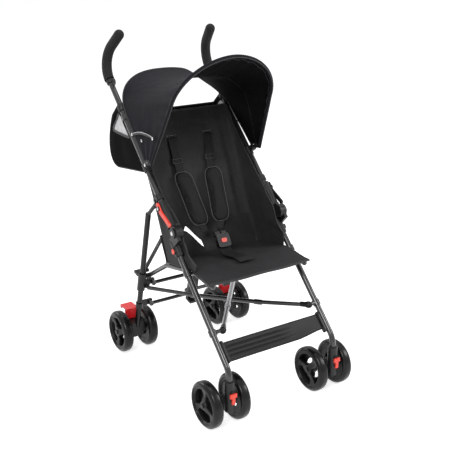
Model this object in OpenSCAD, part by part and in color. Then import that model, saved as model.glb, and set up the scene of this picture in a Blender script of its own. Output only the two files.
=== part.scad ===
// Umbrella stroller with a folding tube frame, swivel casters, a sling seat and a canopy.
// The child faces -Y, the child's left is +X and the wheels stand on Z = 0.

/* [Side frames] */
// Half distance between the two side frames
side_x = 188; // [180:1:200]
// Outer diameter of the frame tubes
tube_d = 18; // [16:0.5:19]
// Wall of the frame tubes
tube_wall = 1.2; // [0.8:0.1:2]
// Lean of the handle tubes and front legs from upright
frame_lean = 45; // [43:1:47]
// Lean of the rear legs from upright
rear_lean = 14.2; // [13:0.2:15]
// Place of the knuckle pivot along the stroller
knuckle_y = -38; // [-42:1:-34]
// Height of the knuckle pivot
knuckle_z = 508; // [500:1:516]
// Handle axis behind the knuckle pivot
handle_back = 12.7; // [11:0.1:14]
// Front leg axis behind the knuckle pivot
leg_back = 36; // [35:0.5:40]

/* [Handles] */
// Straight length of the handle above the knuckle
handle_len = 564; // [540:1:600]
// Bend radius of the handle
grip_bend_r = 75; // [65:1:85]
// Straight length of the grip after the bend
grip_tip = 68; // [50:1:80]
// Inward lean of the grip
grip_lean = 10; // [0:1:15]
// Outer diameter of the foam grip
grip_d = 32; // [28:1:36]

/* [Wheels] */
// Outer diameter of a wheel
wheel_d = 140; // [132:1:148]
// Width of a wheel
wheel_w = 34; // [28:1:38]
// Clear distance between the wheels of a pair
wheel_gap = 58; // [54:1:64]
// Place of the front axles along the stroller
front_axle_y = -274; // [-278:1:-270]
// Place of the rear axles along the stroller
rear_axle_y = 274; // [270:1:278]
// Diameter of the axles
axle_d = 8; // [7:0.5:10]
// Place of the caster kingpins along the stroller
kingpin_y = -318; // [-324:1:-314]

/* [Legs] */
// Bend radius at the foot of a front leg
leg_bend_r = 60; // [50:1:70]
// Place of the bend at the top of a rear leg
rear_top_y = 137; // [132:1:142]
// Height of the bend at the top of a rear leg
rear_top_z = 515; // [508:1:522]

/* [Rails and braces] */
// Diameter of the seat rails
rail_d = 15; // [13:0.5:16]
// Seat rail inboard of the side frame
rail_in = 23; // [22.5:0.5:26]
// Diameter of the crossed braces
brace_d = 14; // [12:0.5:15]
// Bow of each brace at the crossing
brace_bow = 8.5; // [8:0.5:12]
// Diameter of the crossbars
bar_d = 13; // [11:0.5:14]

/* [Seat] */
// Thickness of the seat fabric
seat_t = 4; // [3:0.5:5]
// Height of the top edge of the seat back
seat_top_z = 800; // [785:1:812]
// Seat fabric inboard of the side frame
seat_in = 15; // [14.5:0.5:22]
// Width of the footrest strap
footrest_w = 55; // [45:1:58]
// Length of a shoulder pad
pad_len = 180; // [150:1:200]
// Width of a shoulder pad
pad_w = 50; // [40:1:56]

/* [Canopy] */
// Height of the canopy bow above its pivot
bow_h = 385; // [365:1:400]
// Forward lean of the canopy bow
bow_lean = 31; // [27:1:34]
// Backward lean of the canopy's rear edge
rear_edge_lean = 45; // [41:1:47]
// Thickness of the canopy and flap fabric
cloth_t = 1.6; // [1.2:0.2:2.4]

/* [Hidden] */
$fn = 48;

// Clearances and cut overruns
run_fit = 0.05;
gap = 0.3;
over = 1;
swell = 0.2;

// Colours
tube_black = [0.16, 0.16, 0.17];
plastic_black = [0.08, 0.08, 0.09];
cloth_black = [0.07, 0.07, 0.08];
canopy_grey = [0.22, 0.22, 0.25];
lock_red = [0.85, 0.10, 0.10];
bar_grey = [0.30, 0.30, 0.31];

// Frame axes
tube_r = tube_d / 2;
bore_r = tube_r - tube_wall;
grip_r = grip_d / 2;
wheel_r = wheel_d / 2;
wheel_off = (wheel_gap + wheel_w) / 2;
axle_r = axle_d / 2;
rail_r = rail_d / 2;
brace_r = brace_d / 2;
bar_r = bar_d / 2;
rail_x = side_x - rail_in;

function lean_up(a) = [0, sin(a), cos(a)];
function lean_rear(a) = [0, cos(a), -sin(a)];
function in_frame(o, a, x, y, z) = o + [x, 0, 0] + y * lean_rear(a) + z * lean_up(a);
function flip(p) = [-p[0], p[1], p[2]];

knuckle = [side_x, knuckle_y, knuckle_z];
handle_o = knuckle + handle_back * lean_rear(frame_lean);
leg_o = knuckle + leg_back * lean_rear(frame_lean);
rear_o = [side_x, rear_top_y, rear_top_z];
rear_mid_o = [0, rear_top_y, rear_top_z];
function rear_s(z) = (z - rear_top_z) / cos(rear_lean);

// The origin lies under the middle of the outline, between the front wheels and the grips
grip_turn = 90;
grip_back_turn = atan2(tan(frame_lean), cos(grip_lean));
grip_back_y = handle_o[1] + handle_len * sin(frame_lean) + grip_bend_r * (sin(grip_back_turn)
    * sin(frame_lean) - (1 - cos(grip_back_turn)) * cos(frame_lean) * cos(grip_lean)) + grip_r;
mid_y = (grip_back_y + front_axle_y - wheel_r) / 2;

// Handle
handle_start = 30;
brace_ball = [-12, 21, 400];
ball_r = 8.5;
clamp_r = 12;
weld = 0.5;
clamp_len = 18;
lug_w = 14;
lug_rear = 28;

// Knuckle
drum_r = 21;
drum_t = 11;
sleeve_r = 13;
knuckle_pin_r = 4;
pin_head_r = 7;
pin_head_t = 2.6;
upper_sleeve = [24, 110];
upper_web = [12, 9];
lower_sleeve = [12, 62];
leg_start = 16;
cap_r = 15;
cap_t = 5;
button_r = 6;
button_s = 42;
button_out = 3;

// Lock lever
lever_t = 5;
lever_w = 14;
lever_pin_r = 3;
lever_pin_s = 92;
lever_top_s = 104;
lever_hook_s = 26;
lever_hook_y = -18;

// Front leg
rail_pin_s = 119.5;
rail_pin_r = 4;
rail_eye_r = 9;
brace_foot = [-33, -3.5, -310];
foot_lug_r = 6;
leg_foot_z = 118;
king_drop = (kingpin_y - leg_o[1]) / sin(frame_lean);
leg_tangent = leg_bend_r * tan(frame_lean / 2);
leg_bend_s = king_drop + leg_tangent;
leg_bend_z = leg_o[2] + king_drop * cos(frame_lean) - leg_tangent;

// Caster
socket_r = 15;
socket_z = [92, 152];
king_r = 5;
king_top = 114;
crown_r = 14;
crown_z = 58;
arm_w = 22;
arm_z = [56, 80];
boss_r = 13;
boss_half = 20;
spacer_r = 8;
cap_head_r = 7;
cap_head_t = 2.5;
tab_w = 22;
tab_stem_w = 10;
tab_head_h = 12;
tab_t = 5;
tab_z = [88, 120];
tab_travel = 6;
pad_t = 3;

// Wheel
tyre_round = 9;
rim_r = 50;
rim_t = 5;
rim_w_share = 0.82;
hub_r = 15;
hub_w_share = 0.94;
spoke_w = 18;
spoke_t_share = 0.4;
spokes = 3;

// Rear leg and its joints
rear_pin = [77, 573];
rear_pin_r = 4;
rear_eye_r = 9.5;
rear_eye_x = [-9, 3.7];
ear_x = [4, 9];
arm_r = 8;
rear_arm = [0, rear_pin[0], rear_pin[1]] + [side_x, 0, 0];
rear_foot_z = 84;
rear_sleeve_r = 13;
rear_sleeve_z = [236, 300];
rail_rear_z = 284;
rail_stub_r = 6;
high_bar_z = 258;
low_bar_z = 176;
bar_pin_r = 3;
bar_eye_r = 8;
bar_in = 40;
bar_layer = 7.5;
bar_lug_t = 10;
bar_lug_half = 9;
low_brace_z = 254;
low_brace_y = -24;
low_brace_x = -16;
high_brace_z = 300;
high_brace_y = 28;
high_brace_x = -30;
brace_lug_half = 7;
brace_arm_t = 9;

// Brake
house_half = 22;
house_y = [238, 292];
house_z = [54, 104];
house_round = 12;
pedal_pin = [286, 115];
pedal_pin_r = 3;
pedal_half = 21;
pedal_y = [275, 326];
pedal_z = 136;
pedal_t = 6;
pedal_plate_t = 5;
pedal_plate_z = 106;
pedal_lip = 6;
pedal_ear = 8;
ear_half = 6;
ear_drop = 7;
block_half = 4.5;
block_wall = 1.2;

// Seat rail
rail_bend = [68, 364];
rail_front = [-197, 388];

// Fold pedal
fold_half = 18;
fold_t = 12;
fold_over = 14;
tread_t = 8;
tread_reach = 20;

// Canopy
canopy_pin = [121, 678];
canopy_pin_r = 4;
canopy_ear_r = 10;
canopy_ear_x = [-4, 5];
canopy_clip_half = 13;
bow_r = 4;
bow_eye_r = 9;
bow_t = 6;
bow_x = side_x + canopy_ear_x[1] + gap + bow_t / 2;
cloth_front_r = 36;
cloth_rear_r = 42;
cloth_behind = 0.7;
cloth_sag = 60;
cloth_clear = 2;
cloth_drop = 35;
cloth_steps = 8;
arch_steps = 24;
side_steps = 4;

// Rear flap
flap_half = side_x + 2;
flap_off = 13.5;
flap_edge_s = [474, 226];
flap_curve = [[355, 789], [397, 710], [397, 639], [332, 635]];
flap_fold = 6;
flap_folds = 4;
flap_rows = 10;
flap_cols = 32;
flap_side = 4;

// Seat
seat_front = [-202, 396.3];
seat_hump = [-97, 407.8];
seat_rear = [58, 377];
seat_half = 172;
back_foot = [63, 380];
back_top_y = 256;
back_lean = atan2(back_top_y - back_foot[0], seat_top_z - back_foot[1]);
back_len = norm([back_top_y - back_foot[0], seat_top_z - back_foot[1]]);
back_o = [0, back_foot[0], back_foot[1]];
seat_side = side_x - seat_in;
wing_line = [[-188, 415], [-108, 432], [8, 480], [36, 545], [84, 594], [134, 644], [184, 693], [222, 741], [247, 797]];
wing_lift = 12;
wing_cols = 4;
back_cols = 8;

// Harness
strap_w = 28;
strap_t = 2;
slot_x = 64;
slot_s = 372;
pad_s = 84;
pad_x = [34, 53];
pad_front = [32, 14];
pad_t_crown = 14;
pad_rows = 18;
pad_cols = 12;
pad_draw_share = 0.45;
pad_rim_share = 0.12;
buckle_y = 4;
buckle_z = 432;
buckle_w = 42;
buckle_h = 40;
buckle_t = 16;
buckle_lean = 30;
buckle_round = 8;
button_w = 20;
button_h = 13;
button_deep = 6;
button_proud = 2;
press = 2;
crotch_len = 36;
tongue_h = 12;

// Footrest
footrest_t = 3;
footrest_s = -345;
footrest_ribs = 3;
rib_w = 4;
rib_h = 1.5;

// Placing helpers

// Draws a left-hand piece as it is, or mirrored for the right side
module side(sg) {
    translate([0, -mid_y, 0])
        if (sg > 0) children();
        else mirror([1, 0, 0]) children();
}

module centred() {
    translate([0, -mid_y, 0]) children();
}

module at_frame(o, a) {
    translate(o) rotate([-a, 0, 0]) children();
}

module at_handle() {
    at_frame(handle_o, frame_lean) children();
}

module at_leg() {
    at_frame(leg_o, frame_lean) children();
}

module at_rear() {
    at_frame(rear_o, -rear_lean) children();
}

module at_rear_mid() {
    at_frame(rear_mid_o, -rear_lean) children();
}

// Shape helpers

module pipe(z0, z1, r_out, r_in) {
    translate([0, 0, z0])
        difference() {
            cylinder(h = z1 - z0, r = r_out);
            translate([0, 0, -over]) cylinder(h = z1 - z0 + 2 * over, r = r_in);
        }
}

// A bend that starts along +Z and turns toward -Y
module elbow(bend_r, turn, r) {
    translate([0, -bend_r, 0])
        rotate([90, 0, 90])
            rotate_extrude(angle = turn) translate([bend_r, 0]) circle(r = r);
}

module after_bend(bend_r, turn) {
    translate([0, bend_r * (cos(turn) - 1), bend_r * sin(turn)]) rotate([turn, 0, 0]) children();
}

module xcyl(x0, x1, r) {
    translate([x0, 0, 0]) rotate([0, 90, 0]) cylinder(h = x1 - x0, r = r);
}

module ycyl(y0, y1, r) {
    translate([0, y0, 0]) rotate([-90, 0, 0]) cylinder(h = y1 - y0, r = r);
}

module box(x, y, z) {
    translate([x[0], y[0], z[0]]) cube([x[1] - x[0], y[1] - y[0], z[1] - z[0]]);
}

// A round rod from p to q
module rod(p, q, r) {
    v = q - p;
    translate(p)
        rotate([0, acos(v[2] / norm(v)), atan2(v[1], v[0])])
            cylinder(h = norm(v), r = r);
}

// A ball at p whose poles lie along v
module bead(p, v, r) {
    translate(p)
        rotate([0, acos(v[2] / norm(v)), atan2(v[1], v[0])])
            sphere(r = r);
}

// A rod through several points, with a ball at each bend
module bent_rod(pts, r) {
    last = len(pts) - 1;
    for (i = [1:last]) rod(pts[i - 1], pts[i], r);
    for (i = [1:1:last - 1]) bead(pts[i], pts[i] - pts[i - 1], r + swell);
}

// A flat strap from p to q, as wide as w across the stroller
module strap(p, q, w, t) {
    v = q - p;
    translate(p)
        rotate([-atan2(v[1], v[2]), 0, 0]) rotate([0, atan2(v[0], norm([v[1], v[2]])), 0])
            translate([-w / 2, -t / 2, 0]) cube([w, t, norm(v)]);
}

// A closed sheet between two grids of points with the same rows and columns
module sheet(top, bottom) {
    rows = len(top);
    cols = len(top[0]);
    n = rows * cols;
    pts = [for (g = [top, bottom]) for (row = g) for (p = row) p];
    faces = concat(
        [for (i = [0:rows - 2]) for (j = [0:cols - 2]) for (k = [0, 1])
            k == 0 ? [i * cols + j, (i + 1) * cols + j, i * cols + j + 1]
                   : [i * cols + j + 1, (i + 1) * cols + j, (i + 1) * cols + j + 1]],
        [for (i = [0:rows - 2]) for (j = [0:cols - 2]) for (k = [0, 1])
            k == 0 ? [n + i * cols + j, n + i * cols + j + 1, n + (i + 1) * cols + j]
                   : [n + i * cols + j + 1, n + (i + 1) * cols + j + 1, n + (i + 1) * cols + j]],
        [for (i = [0:rows - 2]) for (k = [0, 1])
            k == 0 ? [i * cols, n + i * cols, (i + 1) * cols]
                   : [(i + 1) * cols, n + i * cols, n + (i + 1) * cols]],
        [for (i = [0:rows - 2]) for (k = [0, 1])
            k == 0 ? [(i + 1) * cols - 1, (i + 2) * cols - 1, n + (i + 1) * cols - 1]
                   : [(i + 2) * cols - 1, n + (i + 2) * cols - 1, n + (i + 1) * cols - 1]],
        [for (j = [0:cols - 2]) for (k = [0, 1])
            k == 0 ? [j, j + 1, n + j] : [j + 1, n + j + 1, n + j]],
        [for (j = [0:cols - 2]) for (k = [0, 1])
            k == 0 ? [n - cols + j, 2 * n - cols + j, n - cols + j + 1]
                   : [n - cols + j + 1, 2 * n - cols + j, 2 * n - cols + j + 1]]);
    polyhedron(points = pts, faces = faces, convexity = 6);
}

// Handle pieces

// The handle's bend and tip, solid, as far as tip past the bend, with a faint bead where they meet
module crook(tip, r) {
    translate([0, 0, handle_len])
        rotate([0, 0, -grip_lean]) {
            elbow(grip_bend_r, grip_turn, r);
            after_bend(grip_bend_r, grip_turn) {
                cylinder(h = tip, r = r);
                sphere(r = r + swell);
            }
        }
}

module handle_line(tip, start, r) {
    translate([0, 0, start]) cylinder(h = handle_len - start, r = r);
    translate([0, 0, handle_len]) sphere(r = r + swell);
    crook(tip, r);
}

module handle_tube(sg) {
    tip = grip_tip - grip_r - gap;
    lug_z = brace_ball[2] + ball_r + gap;
    color(tube_black) side(sg) at_handle()
        difference() {
            union() {
                handle_line(tip, handle_start, tube_r);
                translate([0, 0, lug_z]) cylinder(h = clamp_len, r = clamp_r);
                box([brace_ball[0] - lug_w / 2, brace_ball[0] + lug_w / 2], [0, lug_rear],
                    [lug_z + weld, lug_z + clamp_len - weld]);
            }
            handle_line(tip + over, handle_start - over, bore_r);
        }
}

module handle_grip(sg) {
    grip_bore = tube_r + run_fit;
    color(plastic_black) side(sg) at_handle()
        difference() {
            union() {
                crook(grip_tip - grip_r, grip_r);
                translate([0, 0, handle_len])
                    rotate([0, 0, -grip_lean])
                        after_bend(grip_bend_r, grip_turn)
                            translate([0, 0, grip_tip - grip_r]) sphere(r = grip_r);
            }
            crook(grip_tip - grip_r, grip_bore);
            translate([0, 0, handle_len]) sphere(r = grip_bore + swell);
        }
}

// Knuckle pieces

module knuckle_upper(sg) {
    color(plastic_black) side(sg) at_handle() {
        pipe(handle_start, upper_sleeve[1], sleeve_r, tube_r + run_fit);
        translate([0, 0, upper_sleeve[0]])
            cylinder(h = handle_start - upper_sleeve[0], r = sleeve_r);
        difference() {
            union() {
                translate([0, -handle_back, 0]) xcyl(-drum_t, -gap, drum_r);
                box([-drum_t, -gap], [-handle_back - upper_web[0], upper_web[1]],
                    [0, upper_sleeve[0] + weld]);
            }
            translate([0, -handle_back, 0]) xcyl(-drum_t - over, over, knuckle_pin_r + run_fit);
        }
        translate([0, 0, lever_pin_s]) xcyl(tube_r + tube_wall, sleeve_r + lever_t + gap, lever_pin_r);
        translate([0, 0, lever_pin_s])
            xcyl(sleeve_r + lever_t + gap + gap, sleeve_r + lever_t + gap + pin_head_t, pin_head_r);
        translate([0, 0, lever_pin_s])
            xcyl(sleeve_r + lever_t, sleeve_r + lever_t + gap + gap + weld, lever_pin_r);
    }
}

module knuckle_lower(sg) {
    boss_r = button_r + pad_t;
    color(plastic_black) side(sg) at_leg() {
        difference() {
            union() {
                translate([0, 0, -lower_sleeve[1]])
                    cylinder(h = lower_sleeve[1] - lower_sleeve[0], r = sleeve_r);
                translate([0, -leg_back, 0]) xcyl(gap, drum_t + gap, drum_r);
                box([gap, drum_t + gap], [-leg_back - upper_web[1], 0], [-lower_sleeve[1] / 2, 0]);
                translate([0, 0, -button_s]) xcyl(tube_r, sleeve_r + button_out, boss_r);
            }
            translate([0, 0, -lower_sleeve[1] - over])
                cylinder(h = lower_sleeve[1] - leg_start + over, r = tube_r + run_fit);
            translate([0, 0, -button_s])
                xcyl(sleeve_r, sleeve_r + button_out + over, button_r + gap);
        }
        translate([0, -leg_back, 0]) {
            xcyl(-drum_t - gap, drum_t, knuckle_pin_r);
            xcyl(-drum_t - gap - pin_head_t, -drum_t - gap, pin_head_r);
            xcyl(drum_t, drum_t + gap + cap_t, cap_r);
        }
    }
}

module lock_lever(sg) {
    x = [sleeve_r + gap, sleeve_r + lever_t];
    color(lock_red) side(sg) at_handle()
        difference() {
            union() {
                box(x, [-lever_w / 2, lever_w / 2], [lever_pin_s - lever_w, lever_top_s]);
                translate([0, 0, lever_top_s]) xcyl(x[0], x[1], lever_w / 2);
                hull() {
                    translate([0, 0, lever_pin_s - lever_w]) xcyl(x[0], x[1], lever_w / 2);
                    translate([0, lever_hook_y, lever_hook_s]) xcyl(x[0], x[1], lever_w / 2);
                }
            }
            translate([0, 0, lever_pin_s]) xcyl(0, x[1] + over, lever_pin_r + run_fit);
        }
}

// Front leg and caster pieces

// The front leg's line, solid, with its bend down to the caster
module leg_line(top, foot, r) {
    translate([0, 0, leg_bend_s]) {
        cylinder(h = top - leg_bend_s, r = r);
        sphere(r = r + swell);
        rotate([180, 0, 0]) {
            elbow(leg_bend_r, frame_lean, r);
            after_bend(leg_bend_r, frame_lean) {
                cylinder(h = leg_bend_z - foot, r = r);
                sphere(r = r + swell);
            }
        }
    }
}

module front_leg(sg) {
    rail_pin_end = -rail_in - rail_r - gap;
    color(tube_black) side(sg) at_leg() {
        difference() {
            union() {
                leg_line(-leg_start, leg_foot_z, tube_r);
                for (z = [-rail_pin_s, brace_foot[2]])
                    translate([0, 0, z]) cylinder(h = clamp_len, r = clamp_r, center = true);
                translate([0, brace_foot[1], brace_foot[2]])
                    xcyl(brace_foot[0] + ball_r + gap, 0, foot_lug_r);
                translate([0, 0, -rail_pin_s]) {
                    xcyl(rail_pin_end - pin_head_t, 0, rail_pin_r);
                    xcyl(rail_pin_end - pin_head_t, rail_pin_end, pin_head_r);
                }
            }
            leg_line(-leg_start + over, leg_foot_z - over, bore_r);
        }
    }
}

module caster_socket(sg) {
    color(plastic_black) side(sg) translate([side_x, kingpin_y, 0])
        difference() {
            union() {
                translate([0, 0, socket_z[0]]) cylinder(h = socket_z[1] - socket_z[0], r = socket_r);
                box([-tab_stem_w / 2, tab_stem_w / 2], [-socket_r - pad_t, 0], [socket_z[0], tab_z[1] + tab_travel]);
            }
            translate([0, 0, leg_foot_z]) cylinder(h = socket_z[1], r = tube_r + run_fit);
            translate([0, 0, socket_z[0] - over]) cylinder(h = king_top - socket_z[0] + over, r = king_r + run_fit);
        }
}

module swivel_lock(sg) {
    y = -socket_r - pad_t - gap;
    color(lock_red) side(sg) translate([side_x, kingpin_y, 0]) {
        box([-tab_stem_w / 2, tab_stem_w / 2], [y - tab_t, y], tab_z);
        box([-tab_w / 2, tab_w / 2], [y - tab_t, y], [tab_z[1] - tab_head_h, tab_z[1]]);
    }
}

module caster_fork(sg) {
    trail = front_axle_y - kingpin_y;
    head = wheel_off + wheel_w / 2 + gap;
    color(plastic_black) side(sg) translate([side_x, kingpin_y, 0]) {
        translate([0, 0, crown_z]) cylinder(h = socket_z[0] - gap - crown_z, r = crown_r);
        translate([0, 0, socket_z[0] - over]) cylinder(h = king_top - gap - socket_z[0] + over, r = king_r);
        box([-arm_w / 2, arm_w / 2], [0, trail], arm_z);
        translate([0, trail, wheel_r]) {
            xcyl(-boss_half, boss_half, boss_r);
            xcyl(-head, head, axle_r);
            for (s = [-1, 1]) {
                xcyl(s * boss_half - (s < 0 ? wheel_gap / 2 - boss_half - gap : 0),
                    s * boss_half + (s > 0 ? wheel_gap / 2 - boss_half - gap : 0), spacer_r);
                xcyl(s > 0 ? head : -head - cap_head_t, s > 0 ? head + cap_head_t : -head, cap_head_r);
            }
        }
    }
}

// A wheel with a rounded tyre and broad spokes, its axis along X
module wheel() {
    rim_w = wheel_w * rim_w_share;
    hub_w = wheel_w * hub_w_share;
    spoke_t = wheel_w * spoke_t_share;
    rotate([0, 90, 0])
        difference() {
            union() {
                rotate_extrude() {
                    translate([rim_r, -wheel_w / 2]) square([wheel_r - rim_r - tyre_round, wheel_w]);
                    translate([rim_r, -wheel_w / 2 + tyre_round])
                        square([wheel_r - rim_r, wheel_w - 2 * tyre_round]);
                    for (s = [-1, 1])
                        translate([wheel_r - tyre_round, s * (wheel_w / 2 - tyre_round)]) circle(r = tyre_round);
                    translate([rim_r - rim_t, -rim_w / 2]) square([rim_t + weld, rim_w]);
                }
                cylinder(h = hub_w, r = hub_r, center = true);
                for (k = [0:spokes - 1])
                    rotate([0, 0, k * 360 / spokes])
                        box([0, rim_r - rim_t + weld], [-spoke_w / 2, spoke_w / 2], [-spoke_t / 2, spoke_t / 2]);
            }
            cylinder(h = wheel_w + over, r = axle_r + run_fit, center = true);
        }
}

module front_wheel(sg, s) {
    color(plastic_black) side(sg) translate([side_x + s * wheel_off, front_axle_y, wheel_r]) wheel();
}

module rear_wheel(sg, s) {
    color(plastic_black) side(sg) translate([side_x + s * wheel_off, rear_axle_y, wheel_r]) wheel();
}

// Rear leg pieces

module rear_bracket(sg) {
    pin_s = (rear_arm - handle_o) * lean_up(frame_lean);
    pin_y = (rear_arm - handle_o) * lean_rear(frame_lean);
    color(plastic_black) side(sg) at_handle() translate([0, 0, pin_s]) {
        pipe(-clamp_len / 2, clamp_len / 2, clamp_r, tube_r + run_fit);
        box(ear_x, [tube_r + weld, pin_y], [-clamp_len / 2, clamp_len / 2]);
        translate([0, pin_y, 0]) {
            xcyl(ear_x[0], ear_x[1], rear_eye_r);
            xcyl(rear_eye_x[0] - gap, ear_x[1], rear_pin_r);
            xcyl(rear_eye_x[0] - gap - pin_head_t, rear_eye_x[0] - gap, pin_head_r);
            xcyl(ear_x[1], ear_x[1] + pin_head_t, pin_head_r);
        }
    }
}

module rear_leg(sg) {
    lay = bar_layer * sg;
    low = rear_s(low_bar_z);
    color(tube_black) side(sg) {
        at_rear() {
            pipe(rear_s(rear_foot_z), 0, tube_r, bore_r);
            translate([0, 0, low]) {
                pipe(-clamp_len / 2, clamp_len / 2, clamp_r, tube_r - weld);
                bar_lug(lay);
            }
            sphere(r = tube_r + swell);
        }
        difference() {
            union() {
                rod(rear_o, rear_arm + [(rear_eye_x[0] + rear_eye_x[1]) / 2, 0, 0], rear_eye_x[1] / 2 - rear_eye_x[0] / 2);
                translate(rear_arm) xcyl(rear_eye_x[0], rear_eye_x[1], rear_eye_r);
            }
            translate(rear_arm) xcyl(rear_eye_x[0] - over, rear_eye_x[1] + over, rear_pin_r + run_fit);
            translate(rear_arm) xcyl(rear_eye_x[1], side_x, sleeve_r);
            translate(rear_arm) xcyl(-side_x, rear_eye_x[0], sleeve_r);
        }
    }
}

// The lug that carries a crossbar, on the free side of the bar's layer
module bar_lug(lay) {
    sgn = lay > 0 ? 1 : -1;
    y0 = lay - sgn * (bar_r + gap);
    y1 = y0 - sgn * bar_lug_t;
    box([-bar_in - bar_eye_r, -tube_r + weld], [min(y0, y1), max(y0, y1)], [-bar_lug_half, bar_lug_half]);
    translate([-bar_in, 0, 0])
        ycyl(min(y0 - sgn * weld, lay + sgn * (bar_r + gap)), max(y0 - sgn * weld, lay + sgn * (bar_r + gap)), bar_pin_r);
}

module rear_joint(sg) {
    lay = bar_layer * sg;
    brace_z = rear_s(high_brace_z);
    arm_top = brace_z - ball_r - gap;
    color(plastic_black) side(sg) at_rear() {
        pipe(rear_s(rear_sleeve_z[0]), rear_s(rear_sleeve_z[1]), rear_sleeve_r, tube_r + run_fit);
        translate([0, 0, rear_s(rail_rear_z)]) xcyl(-rail_in + rail_r + gap, -tube_r - weld, rail_stub_r);
        translate([0, 0, rear_s(high_bar_z)]) bar_lug_out(lay);
        translate([low_brace_x, 0, rear_s(low_brace_z)])
            box([-brace_lug_half, brace_lug_half], [low_brace_y + ball_r + gap, -tube_r + weld],
                [-brace_lug_half, brace_lug_half]);
        box([-rear_sleeve_r, rear_sleeve_r - tube_wall], [tube_r + weld, high_brace_y + brace_lug_half],
            [arm_top - brace_arm_t, arm_top]);
        box([high_brace_x - brace_lug_half, rear_sleeve_r - tube_wall],
            [high_brace_y - brace_lug_half, high_brace_y + brace_lug_half], [arm_top - brace_arm_t, arm_top]);
    }
}

// The crossbar lug on the sleeve of the rear joint
module bar_lug_out(lay) {
    difference() {
        bar_lug(lay);
        cylinder(h = clamp_len * 2, r = tube_r + run_fit, center = true);
    }
}

module brake_housing(sg) {
    head = wheel_off + wheel_w / 2 + gap;
    color(plastic_black) side(sg) {
        difference() {
            union() {
                translate([side_x, 0, 0]) box([-house_half, house_half], house_y, house_z);
                translate([side_x, rear_axle_y, wheel_r]) xcyl(-house_half, house_half, house_round + axle_r);
                translate([side_x, pedal_pin[0], pedal_pin[1]])
                    box([-pedal_half + pedal_ear + gap, pedal_half - pedal_ear - gap], [-block_half, block_half],
                        [house_z[1] - pedal_pin[1] - weld, pedal_pin_r + block_wall]);
            }
            at_rear() translate([0, 0, rear_s(rear_foot_z)]) cylinder(h = rear_top_z, r = tube_r + run_fit);
        }
        translate([side_x, rear_axle_y, wheel_r]) {
            xcyl(-head, head, axle_r);
            for (s = [-1, 1]) {
                xcyl(s > 0 ? house_half : -wheel_gap / 2 + gap, s > 0 ? wheel_gap / 2 - gap : -house_half, spacer_r);
                xcyl(s > 0 ? head : -head - cap_head_t, s > 0 ? head + cap_head_t : -head, cap_head_r);
            }
        }
        translate([side_x, pedal_pin[0], pedal_pin[1]]) xcyl(-pedal_half, pedal_half, pedal_pin_r);
    }
}

module brake_pedal(sg) {
    color(lock_red) side(sg) translate([side_x, 0, 0])
        difference() {
            union() {
                box([-pedal_half, pedal_half], pedal_y, [pedal_z, pedal_z + pedal_t]);
                box([-pedal_half, pedal_half], [pedal_y[1] - pedal_t, pedal_y[1]], [pedal_z - pedal_lip, pedal_z + weld]);
                box([-pedal_half + weld, pedal_half - weld], [pedal_y[0], pedal_y[0] + pedal_plate_t],
                    [pedal_plate_z, pedal_z + weld]);
                for (s = [-1, 1])
                    translate([s * (pedal_half - pedal_ear / 2), pedal_pin[0], 0])
                        box([-pedal_ear / 2, pedal_ear / 2], [-ear_half, ear_half],
                            [pedal_pin[1] - ear_drop, pedal_z + weld]);
            }
            translate([0, pedal_pin[0], pedal_pin[1]]) xcyl(-pedal_half - over, pedal_half + over, pedal_pin_r + run_fit);
        }
}

// Rails, braces and crossbars

module seat_rail(sg) {
    rear = in_frame(rear_o, -rear_lean, -rail_in, 0, rear_s(rail_rear_z));
    pin = in_frame(leg_o, frame_lean, -rail_in, 0, -rail_pin_s);
    bend = [rail_x, rail_bend[0], rail_bend[1]];
    front = [rail_x, rail_front[0], rail_front[1]];
    color(tube_black) side(sg)
        difference() {
            union() {
                bent_rod([rear, bend, pin], rail_r);
                rod(pin, front, rail_r);
                for (e = [rear, pin]) translate(e) xcyl(-rail_r + weld, rail_r - weld, rail_eye_r);
                bead(front, front - pin, rail_r + swell);
            }
            translate(pin) xcyl(-rail_eye_r, rail_eye_r, rail_pin_r + run_fit);
        }
}

// Ends of the braces, on the left side
high_ball = in_frame(handle_o, frame_lean, brace_ball[0], brace_ball[1], brace_ball[2]);
high_foot = in_frame(rear_o, -rear_lean, high_brace_x, high_brace_y, rear_s(high_brace_z));
low_ball = in_frame(leg_o, frame_lean, brace_foot[0], brace_foot[1], brace_foot[2]);
low_foot = in_frame(rear_o, -rear_lean, low_brace_x, low_brace_y, rear_s(low_brace_z));
bow_shares = [0.3, 0.7];
end_over = 4.5;
collar_half = 12;
collar_t = 1.6;

// A brace from its pivot on one side to its pivot on the other, bowed past its partner, with a collar at each bend
module brace(p, q, bow) {
    bends = [for (t = bow_shares) p + t * (q - p) + bow];
    run = (bends[1] - bends[0]) / norm(bends[1] - bends[0]);
    lead = (bends[0] - p) / norm(bends[0] - p);
    tail = (q - bends[1]) / norm(q - bends[1]);
    rod(p - end_over * lead, bends[0] - weld * lead, brace_r - weld);
    rod(bends[0] - over * run, bends[1] + over * run, brace_r);
    rod(bends[1] + weld * tail, q + end_over * tail, brace_r - weld);
    for (b = bends) rod(b - collar_half * run, b + collar_half * run, brace_r + collar_t);
}

module rear_brace(sg) {
    color(tube_black) centred()
        if (sg < 0) brace(flip(high_ball), high_foot, [0, brace_bow, 0]);
        else brace(high_ball, flip(high_foot), [0, -brace_bow, 0]);
}

module lower_brace(sg) {
    color(bar_grey) centred()
        if (sg < 0) mirror([1, 0, 0]) brace(low_ball, flip(low_foot), [0, 0, brace_bow]);
        else brace(low_ball, flip(low_foot), [0, 0, -brace_bow]);
}

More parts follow.
